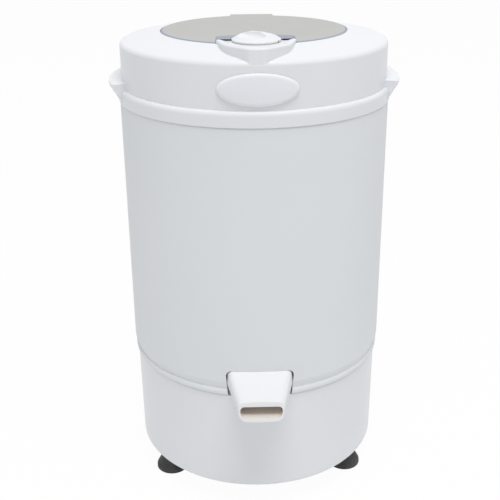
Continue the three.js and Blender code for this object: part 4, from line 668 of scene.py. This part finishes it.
def top_profile():
    """The top's section: collar, skirt, sloping ring, lid recess, drum mouth and ribs."""
    slope = [(r, ring_top(r)) for r in range(160, 120, -4)]
    ledge = SKIRT_R + 0.3
    roll = [
        (ledge + (COLLAR_R - ledge) * math.cos(a), COLLAR_RIM - COLLAR_ROLL * (1 - math.sin(a)))
        for a in quarter(8)
    ]
    return rounded([
        (COLLAR_R, COLLAR_BOTTOM, 1.1),
        (COLLAR_R, COLLAR_RIM - COLLAR_ROLL),
        *roll,
        (SKIRT_R, COLLAR_RIM, 0.25),
        (SKIRT_R, ring_top(SKIRT_R), SHOULDER_ROUND),
        *slope,
        (RING_EDGE, ring_top(RING_EDGE), 0.4),
        (RING_EDGE, SEAT_LEVEL),
        (MOUTH_R, SEAT_LEVEL, 0.8),
        (MOUTH_R, SPLASH_BOTTOM, 1),
        (MOUTH_R + MOUTH_WALL, SPLASH_BOTTOM, 1),
        (MOUTH_R + MOUTH_WALL, SEAT_LEVEL - TOP_WALL),
        (RING_EDGE + 2, SEAT_LEVEL - TOP_WALL),
        (TUB_RIB_INNER_R, ring_top(TUB_RIB_INNER_R) - TOP_WALL),
        (TUB_RIB_INNER_R, TUB_RIB_BOTTOM),
        (TUB_RIB_OUTER_R, TUB_RIB_BOTTOM),
        (TUB_RIB_OUTER_R, ring_top(TUB_RIB_OUTER_R) - TOP_WALL),
        (SKIRT_INNER_R, ring_top(SKIRT_INNER_R) - 3.4, 4),
        (TONGUE_INNER_R, COLLAR_BOTTOM - TONGUE_DEPTH),
        (TONGUE_OUTER_R, COLLAR_BOTTOM - TONGUE_DEPTH),
        (TONGUE_OUTER_R, COLLAR_BOTTOM),
    ], 9)


def grip_block(side):
    """One carry grip: flat top, sloping underside, nose all along."""
    rings = []
    section = rounded([
        (SKIRT_R - 1.5, GRIP_TOP),
        (SKIRT_R - 1.5, GRIP_FOOT),
        (COLLAR_R - 0.4, GRIP_FOOT, 1),
        (GRIP_R, GRIP_TOP - GRIP_NOSE, 2),
        (GRIP_R, GRIP_TOP, 1.8),
    ])
    for k in range(GRIP_STEPS + 1):
        turn = side * 90 - GRIP_HALF_ANGLE + 2 * GRIP_HALF_ANGLE * k / GRIP_STEPS
        rings.append([around(p.x, turn, p.y) for p in section])
    return loft("grip", rings)


def boss_line(inset):
    """The boss seen from above: wide behind, then a neck that meets the skirt."""
    half = [Vector(p) for p in BOSS_PLAN]
    knots = [Vector((-p.x, p.y)) for p in reversed(half[1:])] + half
    curve = []
    for i in range(len(knots) - 1):
        before = knots[max(i - 1, 0)]
        after = knots[min(i + 2, len(knots) - 1)]
        p, q = knots[i], knots[i + 1]
        for k in range(6):
            t = k / 6
            pull = (q - before) * t + (2 * before - 5 * p + 4 * q - after) * t * t
            pull += (3 * p - before - 3 * q + after) * t * t * t
            curve.append(p + pull / 2)
    curve.append(knots[-1])
    line = []
    for i, p in enumerate(curve):
        along = curve[min(i + 1, len(curve) - 1)] - curve[max(i - 1, 0)]
        away = Vector((-along.y, along.x)).normalized()
        line.append(p - inset * away)
    return line


def boss_ring(inset, z):
    """The boss's outline at one height, cut off straight behind."""
    return [(p.x, min(-p.y, BOSS_REAR_Y), z) for p in boss_line(inset)]


def boss_block():
    """The boss, stacked in levels up to its rounded edge and down to its dished top."""
    high = BOSS_CREST - BOSS_EDGE
    levels = [boss_ring(0, z) for z in (POCKET_FLOOR - TOP_WALL, high)]
    for angle in quarter(8):
        levels.append(boss_ring(BOSS_EDGE * (1 - math.cos(angle)), high + BOSS_EDGE * math.sin(angle)))
    for k in range(1, 7):
        fall = (1 - math.cos(math.pi * k / 6)) / 2
        inset = BOSS_EDGE + (BOSS_RIM - BOSS_EDGE) * k / 6
        levels.append(boss_ring(inset, BOSS_CREST - (BOSS_CREST - BOSS_TOP) * fall))
    return loft("boss", levels)


def neck_block():
    """The neck's foot, which dies into the skirt below the shoulder."""
    front = [p for p in boss_line(NECK_INSET) if abs(p.x) < NECK_HALF_W]
    side = front[-1].x
    ring = [(p.x, -p.y) for p in front] + [(side, NECK_REAR_Y), (-side, NECK_REAR_Y)]
    return loft("neck", [[(x, y, z) for x, y in ring] for z in (NECK_FOOT, POCKET_FLOOR - 1.3)])


def top_housing():
    """The top moulding, with its grips, the knob's boss and pocket and the hinge well."""
    shell = revolve("top_look", top_profile())
    side = NOTCH_HALF_W + NOTCH_WALL + POCKET_GAP
    rear = NOTCH_REAR_Y + NOTCH_WALL + 5.0
    outer = side + POCKET_WALL
    well_front = HINGE_Y - WELL_FRONT
    well_rear = HINGE_Y + WELL_REAR
    blocks = [
        grip_block(1),
        grip_block(-1),
        boss_block(),
        neck_block(),
        box("pocket", -outer, outer, BOSS_REAR_Y - 8, rear + POCKET_WALL,
            POCKET_FLOOR - TOP_WALL, SEAT_LEVEL - 1),
        box("well", -WELL_HALF_W, WELL_HALF_W, well_front, well_rear, WELL_BOTTOM, ring_top(HINGE_Y) - 1),
    ]
    combine(shell, blocks, "UNION")
    pocket = rounded([
        (-side, BOSS_REAR_Y),
        (side, BOSS_REAR_Y),
        (side, rear, 3),
        (-side, rear, 3),
    ])
    roof = BOSS_TOP - BOSS_WALL
    slot_half = WELL_HALF_W - TOP_WALL
    cutters = [
        loft("room", [[(p.x, p.y, z) for p in pocket] for z in (POCKET_FLOOR, 640)]),
        loft("hollow", [boss_ring(BOSS_WALL, POCKET_FLOOR), boss_ring(BOSS_WALL, roof)]),
        box("throat", -42, 42, BOSS_REAR_Y - 2, BOSS_REAR_Y + 2, POCKET_FLOOR, roof),
        box("slot", -slot_half, slot_half, well_front + TOP_WALL, well_rear - TOP_WALL,
            WELL_BOTTOM + TOP_WALL, 640),
    ]
    combine(shell, cutters, "DIFFERENCE")
    return shade(shell, 38)


def badge_plate():
    """A crowned oval with a rolled rim, wrapped on the skirt."""
    face = SKIRT_R + 0.4
    thick = BADGE_EDGE + BADGE_RISE
    rims = [(0.0, 0.0), (0.0, BADGE_EDGE)]
    rims += [(BADGE_ROLL * (1 - math.cos(a)), BADGE_EDGE + BADGE_RISE * math.sin(a)) for a in quarter(10)]
    flat = BADGE_HALF_H - BADGE_ROLL - 0.2
    for k in range(1, 9):
        rims.append((BADGE_ROLL + flat * k / 8, thick + BADGE_CROWN * math.sin(math.pi / 2 * k / 8)))
    sections = []
    for inset, out in rims:
        ring = []
        for angle in turns(BADGE_STEPS):
            x = (BADGE_HALF_W - inset) * math.cos(angle)
            z = BADGE_Z + (BADGE_HALF_H - inset) * math.sin(angle)
            ring.append((x, -math.sqrt((face + out) ** 2 - x * x), z))
        sections.append(ring)
    middle = []
    for x, _, _ in sections[-1]:
        middle.append((x, -math.sqrt((face + thick + BADGE_CROWN) ** 2 - x * x), BADGE_Z))
    sections.append(middle)
    return shade(loft("badge_look", sections), 50)


# ---------------------------------------------------------------- lid and knob


def lid_panel():
    """The panel, with its flange in the mouth, hinge tab and barrel, and bevelled notch."""
    bottom = LID_TOP - LID_THICK
    flange = MOUTH_R - FLANGE_GAP
    plate = revolve("lid_look", rounded([
        (0, bottom),
        (flange - FLANGE_WALL, bottom),
        (flange - FLANGE_WALL, bottom - FLANGE_DEPTH, 0.8),
        (flange, bottom - FLANGE_DEPTH, 0.8),
        (flange, bottom),
        (LID_R - 1.4, bottom),
        (LID_R, bottom + 0.9, 0.3),
        (LID_R, LID_TOP - 1.2, 0.3),
        (LID_R - LID_BEVEL, LID_TOP, 0.6),
        (0, LID_TOP),
    ]))
    clear = box("clear", -NOTCH_HALF_W - 12, NOTCH_HALF_W + 12, -200, NOTCH_REAR_Y + 12, 600, bottom)
    combine(plate, [clear], "DIFFERENCE")
    tab_outline = rounded([
        (-TAB_HALF_W, HINGE_Y - TAB_FRONT),
        (TAB_HALF_W, HINGE_Y - TAB_FRONT),
        (TAB_HALF_W, HINGE_Y + TAB_REAR, TAB_ROUND),
        (-TAB_HALF_W, HINGE_Y + TAB_REAR, TAB_ROUND),
    ])
    tab = loft("tab", [[(p.x, p.y, z) for p in tab_outline] for z in (bottom, LID_TOP - TAB_DROP)])
    ring = []
    for angle in turns(BARREL_STEPS):
        ring.append((HINGE_Y + BARREL_R * math.cos(angle), HINGE_Z + BARREL_R * math.sin(angle)))
    barrel = loft("barrel", [[(x, y, z) for y, z in ring] for x in (-TAB_HALF_W, TAB_HALF_W)])
    side = NOTCH_HALF_W + NOTCH_WALL
    wall = box("wall", -side, side, -109.5, NOTCH_REAR_Y + NOTCH_WALL, POCKET_FLOOR + SEAT_GAP, bottom + 1)
    combine(plate, [tab, barrel, wall], "UNION")
    wide = NOTCH_HALF_W - 0.2
    across = [wide * (1 - k / 12) for k in range(25)]
    bevel = []
    for z, arch, rear in (
        (LID_TOP - NOTCH_BEVEL_DEPTH, 0.0, 0.2),
        (LID_TOP + 0.1, NOTCH_ARCH, NOTCH_BEVEL),
    ):
        back = [(x, NOTCH_REAR_Y + rear + arch * (1 - (x / wide) ** 2), z) for x in across]
        bevel.append([(-wide, NOTCH_REAR_Y - 4, z), (wide, NOTCH_REAR_Y - 4, z)] + back)
    cutters = [
        box("notch", -NOTCH_HALF_W, NOTCH_HALF_W, -200, NOTCH_REAR_Y, 560, 660),
        loft("bevel", bevel),
        box("slit", *SLIT, NOTCH_REAR_Y - 3, NOTCH_REAR_Y + 6, SLIT_BOTTOM, SLIT_TOP),
    ]
    combine(plate, cutters, "DIFFERENCE")
    return shade(plate, 35)


def shade_lid_edges(piece):
    """Paints shade on the panel's edges: a darker, bluer tone for the shade in the gaps round the panel
    and in the notch behind the boss.
    """
    piece.data.materials.append(SMOKED_EDGE_SHADE)
    low = (LID_TOP - LID_THICK - 0.5) * MM
    for face in piece.data.polygons:
        if abs(face.normal.z) < 0.995 and face.center.z > low:
            face.material_index = 1


def lid_knob():
    """A low dome with a finger scoop either side of a grip ridge."""
    top = KNOB_BOTTOM + KNOB_HEIGHT
    dome = revolve("knob_look", rounded([
        (0, KNOB_BOTTOM),
        (KNOB_R - 1, KNOB_BOTTOM, 0.4),
        (KNOB_R, KNOB_BOTTOM + 1, 0.8),
        (KNOB_R, KNOB_BOTTOM + KNOB_RIM, 1.2),
        (KNOB_R * 0.7, top - KNOB_HEIGHT * 0.3, 14),
        (KNOB_R * 0.3, top, 16),
        (0, top),
    ], 6), 144)
    scoops = []
    for side in (-1, 1):
        scoop = bpy.data.objects.new("scoop", bpy.data.meshes.new("scoop"))
        bpy.context.collection.objects.link(scoop)
        ball = bmesh.new()
        bmesh.ops.create_uvsphere(ball, u_segments=96, v_segments=64, radius=1)
        bmesh.ops.scale(ball, vec=[size * MM for size in KNOB_SCOOP], verts=ball.verts)
        y = side * (KNOB_RIDGE + KNOB_SCOOP[1])
        z = KNOB_BOTTOM + KNOB_SCOOP_FLOOR + KNOB_SCOOP[2]
        bmesh.ops.translate(ball, vec=at(0, y, z), verts=ball.verts)
        ball.to_mesh(scoop.data)
        ball.free()
        scoops.append(scoop)
    pointer = box("pointer", KNOB_R - POINTER_DEPTH, KNOB_R + 1, -POINTER_HALF_W, POINTER_HALF_W,
                  KNOB_BOTTOM - 1, KNOB_BOTTOM + KNOB_RIM)
    combine(dome, scoops + [pointer], "DIFFERENCE")
    turn = Matrix.Rotation(math.radians(KNOB_ANGLE), 4, "Z")
    axis = at(0, 0, 0)
    dome.data.transform(Matrix.Translation(at(0, KNOB_Y, 0)) @ turn @ Matrix.Translation(-axis))
    return soften(dome, 0.5, 3, 22)


# ---------------------------------------------------------------- spout and feet


def spout_ring(y, inset):
    """The spout's outline at a place along it: outside (0) or channel (1)."""
    share = (-y - BODY_R) / (SPOUT_REACH - BODY_R)
    top_half, foot_half, low, high = (a + (b - a) * share for a, b in zip(SPOUT_ROOT, SPOUT_MOUTH))
    top_half -= inset * CHANNEL_SIDE
    foot_half -= inset * CHANNEL_SIDE
    low += inset * CHANNEL_FLOOR
    high -= inset * CHANNEL_ROOF
    top_round, foot_round = CHANNEL_ROUNDS if inset else SPOUT_ROUNDS
    ring = spread(rounded([
        (foot_half, low, foot_round, CORNER_STEPS),
        (top_half, high, top_round, CORNER_STEPS),
        (-top_half, high, top_round, CORNER_STEPS),
        (-foot_half, low, foot_round, CORNER_STEPS),
    ]))
    bowed = []
    for p in ring:
        crown = SPOUT_CROWN * (1 - (p.x / top_half) ** 2)
        upper = p.y > (high + low) / 2
        lift = (1 - inset) if upper else (inset * CHANNEL_CROWN - 1)
        lean = SPOUT_LEAN * max(0.0, share) ** 2 * (p.y - low) / (high - low)
        bowed.append((p.x, y + lean, p.y + max(0.0, crown) * lift))
    return bowed


def spread(ring):
    """The outline with points added along the runs between its corners."""
    points = []
    for i, p in enumerate(ring):
        points.append(p)
        if (i + 1) % (CORNER_STEPS + 1) == 0:
            q = ring[(i + 1) % len(ring)]
            points += [p.lerp(q, k / RUN_STEPS) for k in range(1, RUN_STEPS)]
    return points


def drain_spout():
    """The spout from the tub's wall to its rounded lip, with the channel through it."""
    start = -TUB_OUTER + 20
    steps = 12
    along = [start + (-SPOUT_REACH + SPOUT_LIP - start) * k / steps for k in range(steps + 1)]
    sections = [spout_ring(y, 0) for y in along]
    for angle in quarter(5):
        y = -SPOUT_REACH + SPOUT_LIP - SPOUT_LIP * math.sin(angle)
        ring = spout_ring(y, 0)
        shrink = SPOUT_LIP * (1 - math.cos(angle))
        narrow = 1 - shrink / 28
        middle = sum(p[2] for p in ring) / len(ring)
        sections.append([(x * narrow, depth, z + (middle - z) * shrink / 11) for x, depth, z in ring])
    outside = loft("spout_look", sections)
    channel = loft("channel", [spout_ring(y, 1) for y in (start + 5, -200, -SPOUT_REACH - 5)])
    seat = TUB_OUTER + SEAT_GAP
    tub = revolve("tub", [(0, 100), (seat, 100), (seat, 300), (0, 300)])
    combine(outside, [channel, tub], "DIFFERENCE")
    return soften(outside, 0.45, 2, 50)


def tint_spout_channel(piece):
    """Paints light on the channel's walls: a warm tone for light glowing through the plastic, with some
    water staining.
    """
    piece.data.materials.append(SPOUT_INSIDE_GLOW)
    for face in piece.data.polygons:
        y = face.center.y / MM - AXIS_Y
        ring = spout_ring(y, 1)
        middle = sum(p[2] for p in ring) / len(ring)
        inward = Vector((-face.center.x, 0, middle * MM - face.center.z)).normalized()
        if face.normal.dot(inward) > 0.3 and abs(face.normal.y) < 0.5:
            face.material_index = 1


def foot(index, angle):
    centre = around(FOOT_CIRCLE, angle)[:2]
    return shade(revolve(f"foot_{index}_look", rounded(FOOT_PROFILE, 10), SMALL_STEPS, centre), 35)


# ---------------------------------------------------------------- drum


def spin_drum():
    """A rolled wall with staggered round holes, each cut right through."""
    low = DRUM_SEAM + SEAT_GAP
    high = DRUM_TOP - SEAT_GAP
    wide = 2 * math.pi / DRUM_COLUMNS
    tall = (high - low) / DRUM_ROWS
    verts = []
    faces = []

    def put(angle, z):
        verts.append(at(DRUM_R * math.sin(angle), -DRUM_R * math.cos(angle), z))
        return len(verts) - 1

    for row in range(DRUM_ROWS):
        for column in range(DRUM_COLUMNS):
            middle = wide * (column + 0.5 * (row % 2))
            centre = low + tall * (row + 0.5)
            edge = []
            for k in range(HOLE_STEPS):
                side, step = divmod(k, HOLE_STEPS // 4)
                run = -1 + step / (HOLE_STEPS // 8)
                u, v = [(run, -1), (1, run), (-run, 1), (-1, -run)][side]
                edge.append(put(middle + u * wide / 2, centre + v * tall / 2))
            rim = []
            for k in range(HOLE_STEPS):
                angle = math.pi * 1.25 + 2 * math.pi * k / HOLE_STEPS
                turn = HOLE_R * math.cos(angle) / DRUM_R
                rim.append(put(middle + turn, centre + HOLE_R * math.sin(angle)))
            for k in range(HOLE_STEPS):
                j = (k + 1) % HOLE_STEPS
                faces.append((edge[k], edge[j], rim[j], rim[k]))
    wall = mesh_object("drum_look", verts, faces, 2e-6)
    thick = wall.modifiers.new("sheet", "SOLIDIFY")
    thick.thickness = DRUM_WALL * MM
    thick.offset = -1
    bpy.context.view_layer.update()
    evaluated(wall)
    lip = revolve("lip", rounded([
        (DRUM_R - DRUM_LIP, high - DRUM_WALL, 0.4),
        (DRUM_R - 0.4, high - DRUM_WALL),
        (DRUM_R - 0.4, high - 0.1),
        (DRUM_R - DRUM_LIP, high - 0.1, 0.4),
    ]))
    joined = bmesh.new()
    joined.from_mesh(wall.data)
    joined.from_mesh(lip.data)
    joined.to_mesh(wall.data)
    joined.free()
    bpy.data.objects.remove(lip)
    return shade(wall, 40)


def drum_floor():
    """The pressed floor: round corner, two stiffening rings, dished middle."""
    top_side = []
    for r in FLOOR_RADII:
        lift = sum(
            FLOOR_RING_HEIGHT * math.exp(-((r - middle) / FLOOR_RING_WIDTH) ** 2) for middle in FLOOR_RINGS
        )
        top_side.append((r, DRUM_BOTTOM + DRUM_WALL + lift))
    return shade(revolve("drum_floor_look", rounded([
        (SHAFT_HOLE_R, DRUM_BOTTOM),
        (DRUM_R, DRUM_BOTTOM, 14),
        (DRUM_R, DRUM_SEAM),
        (DRUM_R - DRUM_WALL, DRUM_SEAM),
        (DRUM_R - DRUM_WALL, DRUM_BOTTOM + DRUM_WALL, 13),
        *top_side,
        (SHAFT_HOLE_R, DRUM_BOTTOM + DRUM_WALL),
    ], 10)), 35)


def drum_nut():
    """A flanged nut with chamfered corners."""
    low = DRUM_BOTTOM + DRUM_WALL + SEAT_GAP
    flange = revolve("nut_look", rounded([
        (SHAFT_HOLE_R, low),
        (NUT_FLANGE_R, low, 0.4),
        (NUT_FLANGE_R, low + NUT_FLANGE, 1.2),
        (SHAFT_HOLE_R, low + NUT_FLANGE),
    ]), 96)
    hexagon = []
    for inset, z in ((0, 2), (0, 10.6), (0.8, 11.6), (1.6, 12)):
        corner = NUT_R - inset
        hexagon.append([(corner * math.sin(a), -corner * math.cos(a), low + z) for a in turns(6)])
    circle = [(SHAFT_HOLE_R * math.cos(a), SHAFT_HOLE_R * math.sin(a)) for a in turns(48)]
    bore = loft("bore", [[(x, y, z) for x, y in circle] for z in (200, 260)])
    combine(flange, [loft("hexagon", hexagon)], "UNION")
    combine(flange, [bore], "DIFFERENCE")
    return soften(flange, 0.3, 2, 35)


def motor_end_cap():
    """The cast cap below the motor, with cooling ribs round its seat."""
    low = CAP_TOP - CAP_WALL
    groove = CAP_TOP - 3.6
    cap = revolve("end_cap_look", rounded([
        (CAP_HOLE_R, low, 0.8),
        (30, low, 0.8),
        (32, groove, 0.8),
        (58, groove, 0.8),
        (60, low, 0.8),
        (CAP_R, low, 2.5),
        (CAP_R, CAP_TOP),
        (CAP_SEAT_R, CAP_TOP),
        (CAP_SEAT_R, CAP_TOP + CAP_SEAT_HEIGHT),
        (CAP_HOLE_R, CAP_TOP + CAP_SEAT_HEIGHT),
    ]), 96)
    half = CAP_RIB_HALF_W
    ribs = []
    for angle in turns(CAP_RIBS):
        turned = Matrix.Rotation(angle, 2)
        ring = [turned @ Vector(p) for p in ((-half, -60), (half, -60), (half, -31), (-half, -31))]
        ribs.append(loft("rib", [[(p.x, p.y, z) for p in ring] for z in (low, CAP_TOP - 2)]))
    combine(cap, ribs, "UNION")
    return shade(cap, 35)


def cord_gland():
    """A moulded bush in the rear wall, with an open bore and no lead in it."""
    outline = rounded([
        (GLAND_BORE_R, -GLAND_NECK_DEPTH),
        (GLAND_NECK_R, -GLAND_NECK_DEPTH, 0.5),
        (GLAND_NECK_R, SEAT_GAP),
        (GLAND_FLANGE_R, SEAT_GAP, 0.5),
        (GLAND_FLANGE_R, GLAND_FLANGE_OUT, 1.6),
        (GLAND_BORE_R, GLAND_FLANGE_OUT, 1.2),
    ], 12)
    verts = []
    for a in turns(SMALL_STEPS):
        verts += [at(p.x * math.cos(a), BASE_BOTTOM_R + p.y, GLAND_Z + p.x * math.sin(a)) for p in outline]
    n = len(outline)
    faces = []
    for k in range(SMALL_STEPS):
        m = (k + 1) % SMALL_STEPS
        for i in range(n):
            j = (i + 1) % n
            faces.append((k * n + i, k * n + j, m * n + j, m * n + i))
    return shade(mesh_object("gland_look", verts, faces), 35)


def drum_ring():
    """The moulded ring round the drum's mouth."""
    return shade(revolve("drum_ring_look", rounded([
        (DRUM_RING_INNER, DRUM_TOP, 1.5),
        (DRUM_RING_OUTER, DRUM_TOP, 0.8),
        (DRUM_RING_OUTER, DRUM_RING_TOP, 4),
        (DRUM_RING_INNER, DRUM_RING_TOP, 5),
    ], 10)), 35)


finish(body_shell(), "cabinet", PAINT, "body_shell")
finish(base_housing(), "cabinet", WHITE, "base_housing")
finish(base_floor(), "cabinet", WHITE, "base_floor")
finish(top_housing(), "cabinet", WHITE, "top_housing")
# the badge's lighter plastic is painted light
finish(badge_plate(), "cabinet", BADGE_WHITE_LIT, "badge_plate")
# the lid panel's edges get painted shade
shade_lid_edges(finish(lid_panel(), "lid", SMOKED, "lid_panel"))
finish(lid_knob(), "knob", WHITE, "lid_knob")
# the spout's channel gets painted warm light
tint_spout_channel(finish(drain_spout(), "cabinet", SPOUT_WHITE, "drain_spout"))
finish(drum_ring(), "drum", GREY_PLASTIC, "drum_ring")
finish(spin_drum(), "drum", STEEL, "spin_drum")
finish(drum_floor(), "drum", STEEL, "drum_floor")
finish(drum_nut(), "drum", STEEL, "drum_nut")
finish(motor_end_cap(), "cabinet", CAST, "motor_end_cap")
finish(cord_gland(), "cabinet", DARK_PLASTIC, "cord_gland")
for number, place in enumerate(FOOT_ANGLES, 1):
    finish(foot(number, place), "cabinet", RUBBER, f"foot_{number}")

# the CAD nodes that stay get the same materials
LOOKS = {
    "white_moulding": WHITE,
    "white_paint": PAINT,
    "smoked_panel": SMOKED,
    "grey_moulding": GREY_PLASTIC,
    "dark_moulding": DARK_PLASTIC,
    "black_rubber": RUBBER,
    "bright_steel": STEEL,
    "core_steel": CORE,
    "cast_aluminium": CAST,
}
for subpart in frame["record"]["subparts"]:
    carried = frame["nodes"][subpart["node"]]
    carried.data.materials.clear()
    carried.data.materials.append(LOOKS[subpart["material_slot"]])

# ---------------------------------------------------------------- stage and light

BACKDROP = (1.0, 1.0, 1.0, 1)
FLOOR_HALF = 6.0
FLOOR_GLOW = 0.96
LAMP_AIM = (0, 0, 0.35)
SIDE_PANEL = (1.4, 2.0)


def seen_directly(tree):
    """One for rays from the camera and for reflections and refractions."""
    path = tree.nodes.new("ShaderNodeLightPath")
    total = path.outputs["Is Camera Ray"]
    for kind in ("Is Glossy Ray", "Is Transmission Ray"):
        both = tree.nodes.new("ShaderNodeMath")
        both.operation = "MAXIMUM"
        tree.links.new(total, both.inputs[0])
        tree.links.new(path.outputs[kind], both.inputs[1])
        total = both.outputs[0]
    return total


def stage_floor():
    """White paper that looks like the backdrop but still takes the soft shadow."""
    half = FLOOR_HALF
    corners = [(-half, -half, 0), (half, -half, 0), (half, half, 0), (-half, half, 0)]
    floor = mesh_object("floor", corners, [(0, 1, 2, 3)])
    made, tree, surface = material("floor_paper")
    tree.nodes.remove(surface)
    out = tree.nodes["Material Output"]
    paper = node(tree, "ShaderNodeBsdfDiffuse", Color=(0.9, 0.9, 0.9, 1))
    bright = node(tree, "ShaderNodeEmission", Color=BACKDROP, Strength=1.0)
    share = tree.nodes.new("ShaderNodeMath")
    share.operation = "MULTIPLY"
    share.inputs[1].default_value = FLOOR_GLOW
    tree.links.new(seen_directly(tree), share.inputs[0])
    mix = tree.nodes.new("ShaderNodeMixShader")
    tree.links.new(share.outputs[0], mix.inputs["Fac"])
    tree.links.new(paper.outputs["BSDF"], mix.inputs[1])
    tree.links.new(bright.outputs["Emission"], mix.inputs[2])
    tree.links.new(mix.outputs["Shader"], out.inputs["Surface"])
    floor.data.materials.append(made)


def world_light():
    """Soft light from all round, with a white backdrop where it is seen directly."""
    world = bpy.data.worlds.new("studio")
    bpy.context.scene.world = world
    world.use_nodes = True
    tree = world.node_tree
    tree.nodes.clear()
    out = tree.nodes.new("ShaderNodeOutputWorld")
    light = node(tree, "ShaderNodeBackground", Color=(0.985, 0.99, 1.0, 1), Strength=0.54)
    white = node(tree, "ShaderNodeBackground", Color=BACKDROP, Strength=1.0)
    mix = tree.nodes.new("ShaderNodeMixShader")
    tree.links.new(seen_directly(tree), mix.inputs["Fac"])
    tree.links.new(light.outputs["Background"], mix.inputs[1])
    tree.links.new(white.outputs["Background"], mix.inputs[2])
    tree.links.new(mix.outputs["Shader"], out.inputs["Surface"])


def soft_lamp(name, place, size, power):
    """A rectangular panel lamp that faces the object."""
    data = bpy.data.lights.new(name, "AREA")
    data.shape = "RECTANGLE"
    data.size, data.size_y = size
    data.energy = power
    lamp = bpy.data.objects.new(name, data)
    bpy.context.collection.objects.link(lamp)
    lamp.location = place
    lamp.rotation_euler = (Vector(LAMP_AIM) - Vector(place)).to_track_quat("-Z", "Y").to_euler()


stage_floor()
world_light()
soft_lamp("key_panel", (0.3, -1.35, 4.5), (2.2, 1.8), 106)
soft_lamp("right_panel", (2.4, -0.9, 1.3), SIDE_PANEL, 2.6)
soft_lamp("left_panel", (-2.4, -0.9, 1.3), SIDE_PANEL, 3.2)

# ---------------------------------------------------------------- camera

PICTURE_PX = 500
SENSOR_MM = 36
FOCAL_PX = 875.8
DISTANCE = 1.1448
HEIGHT = 0.79036
PITCH = 0.392
ROLL = -0.0079
AZIMUTH = math.radians(-1.5)
CENTRE_PX = (255.4, 245.1)

camera = bpy.data.objects.new("camera", bpy.data.cameras.new("camera"))
bpy.context.collection.objects.link(camera)
camera.data.sensor_width = SENSOR_MM
camera.data.lens = FOCAL_PX * SENSOR_MM / PICTURE_PX
camera.data.shift_x = (PICTURE_PX / 2 - CENTRE_PX[0]) / PICTURE_PX
camera.data.shift_y = (CENTRE_PX[1] - PICTURE_PX / 2) / PICTURE_PX
camera.data.dof.use_dof = False
spot = Vector((DISTANCE * math.sin(AZIMUTH), AXIS_Y * MM - DISTANCE * math.cos(AZIMUTH), HEIGHT))
aim = Matrix.Rotation(AZIMUTH, 4, "Z") @ Matrix.Rotation(math.pi / 2 - PITCH, 4, "X")
camera.matrix_world = Matrix.Translation(spot) @ aim @ Matrix.Rotation(ROLL, 4, "Z")
bpy.context.scene.camera = camera
bpy.context.scene.view_settings.view_transform = "Standard"
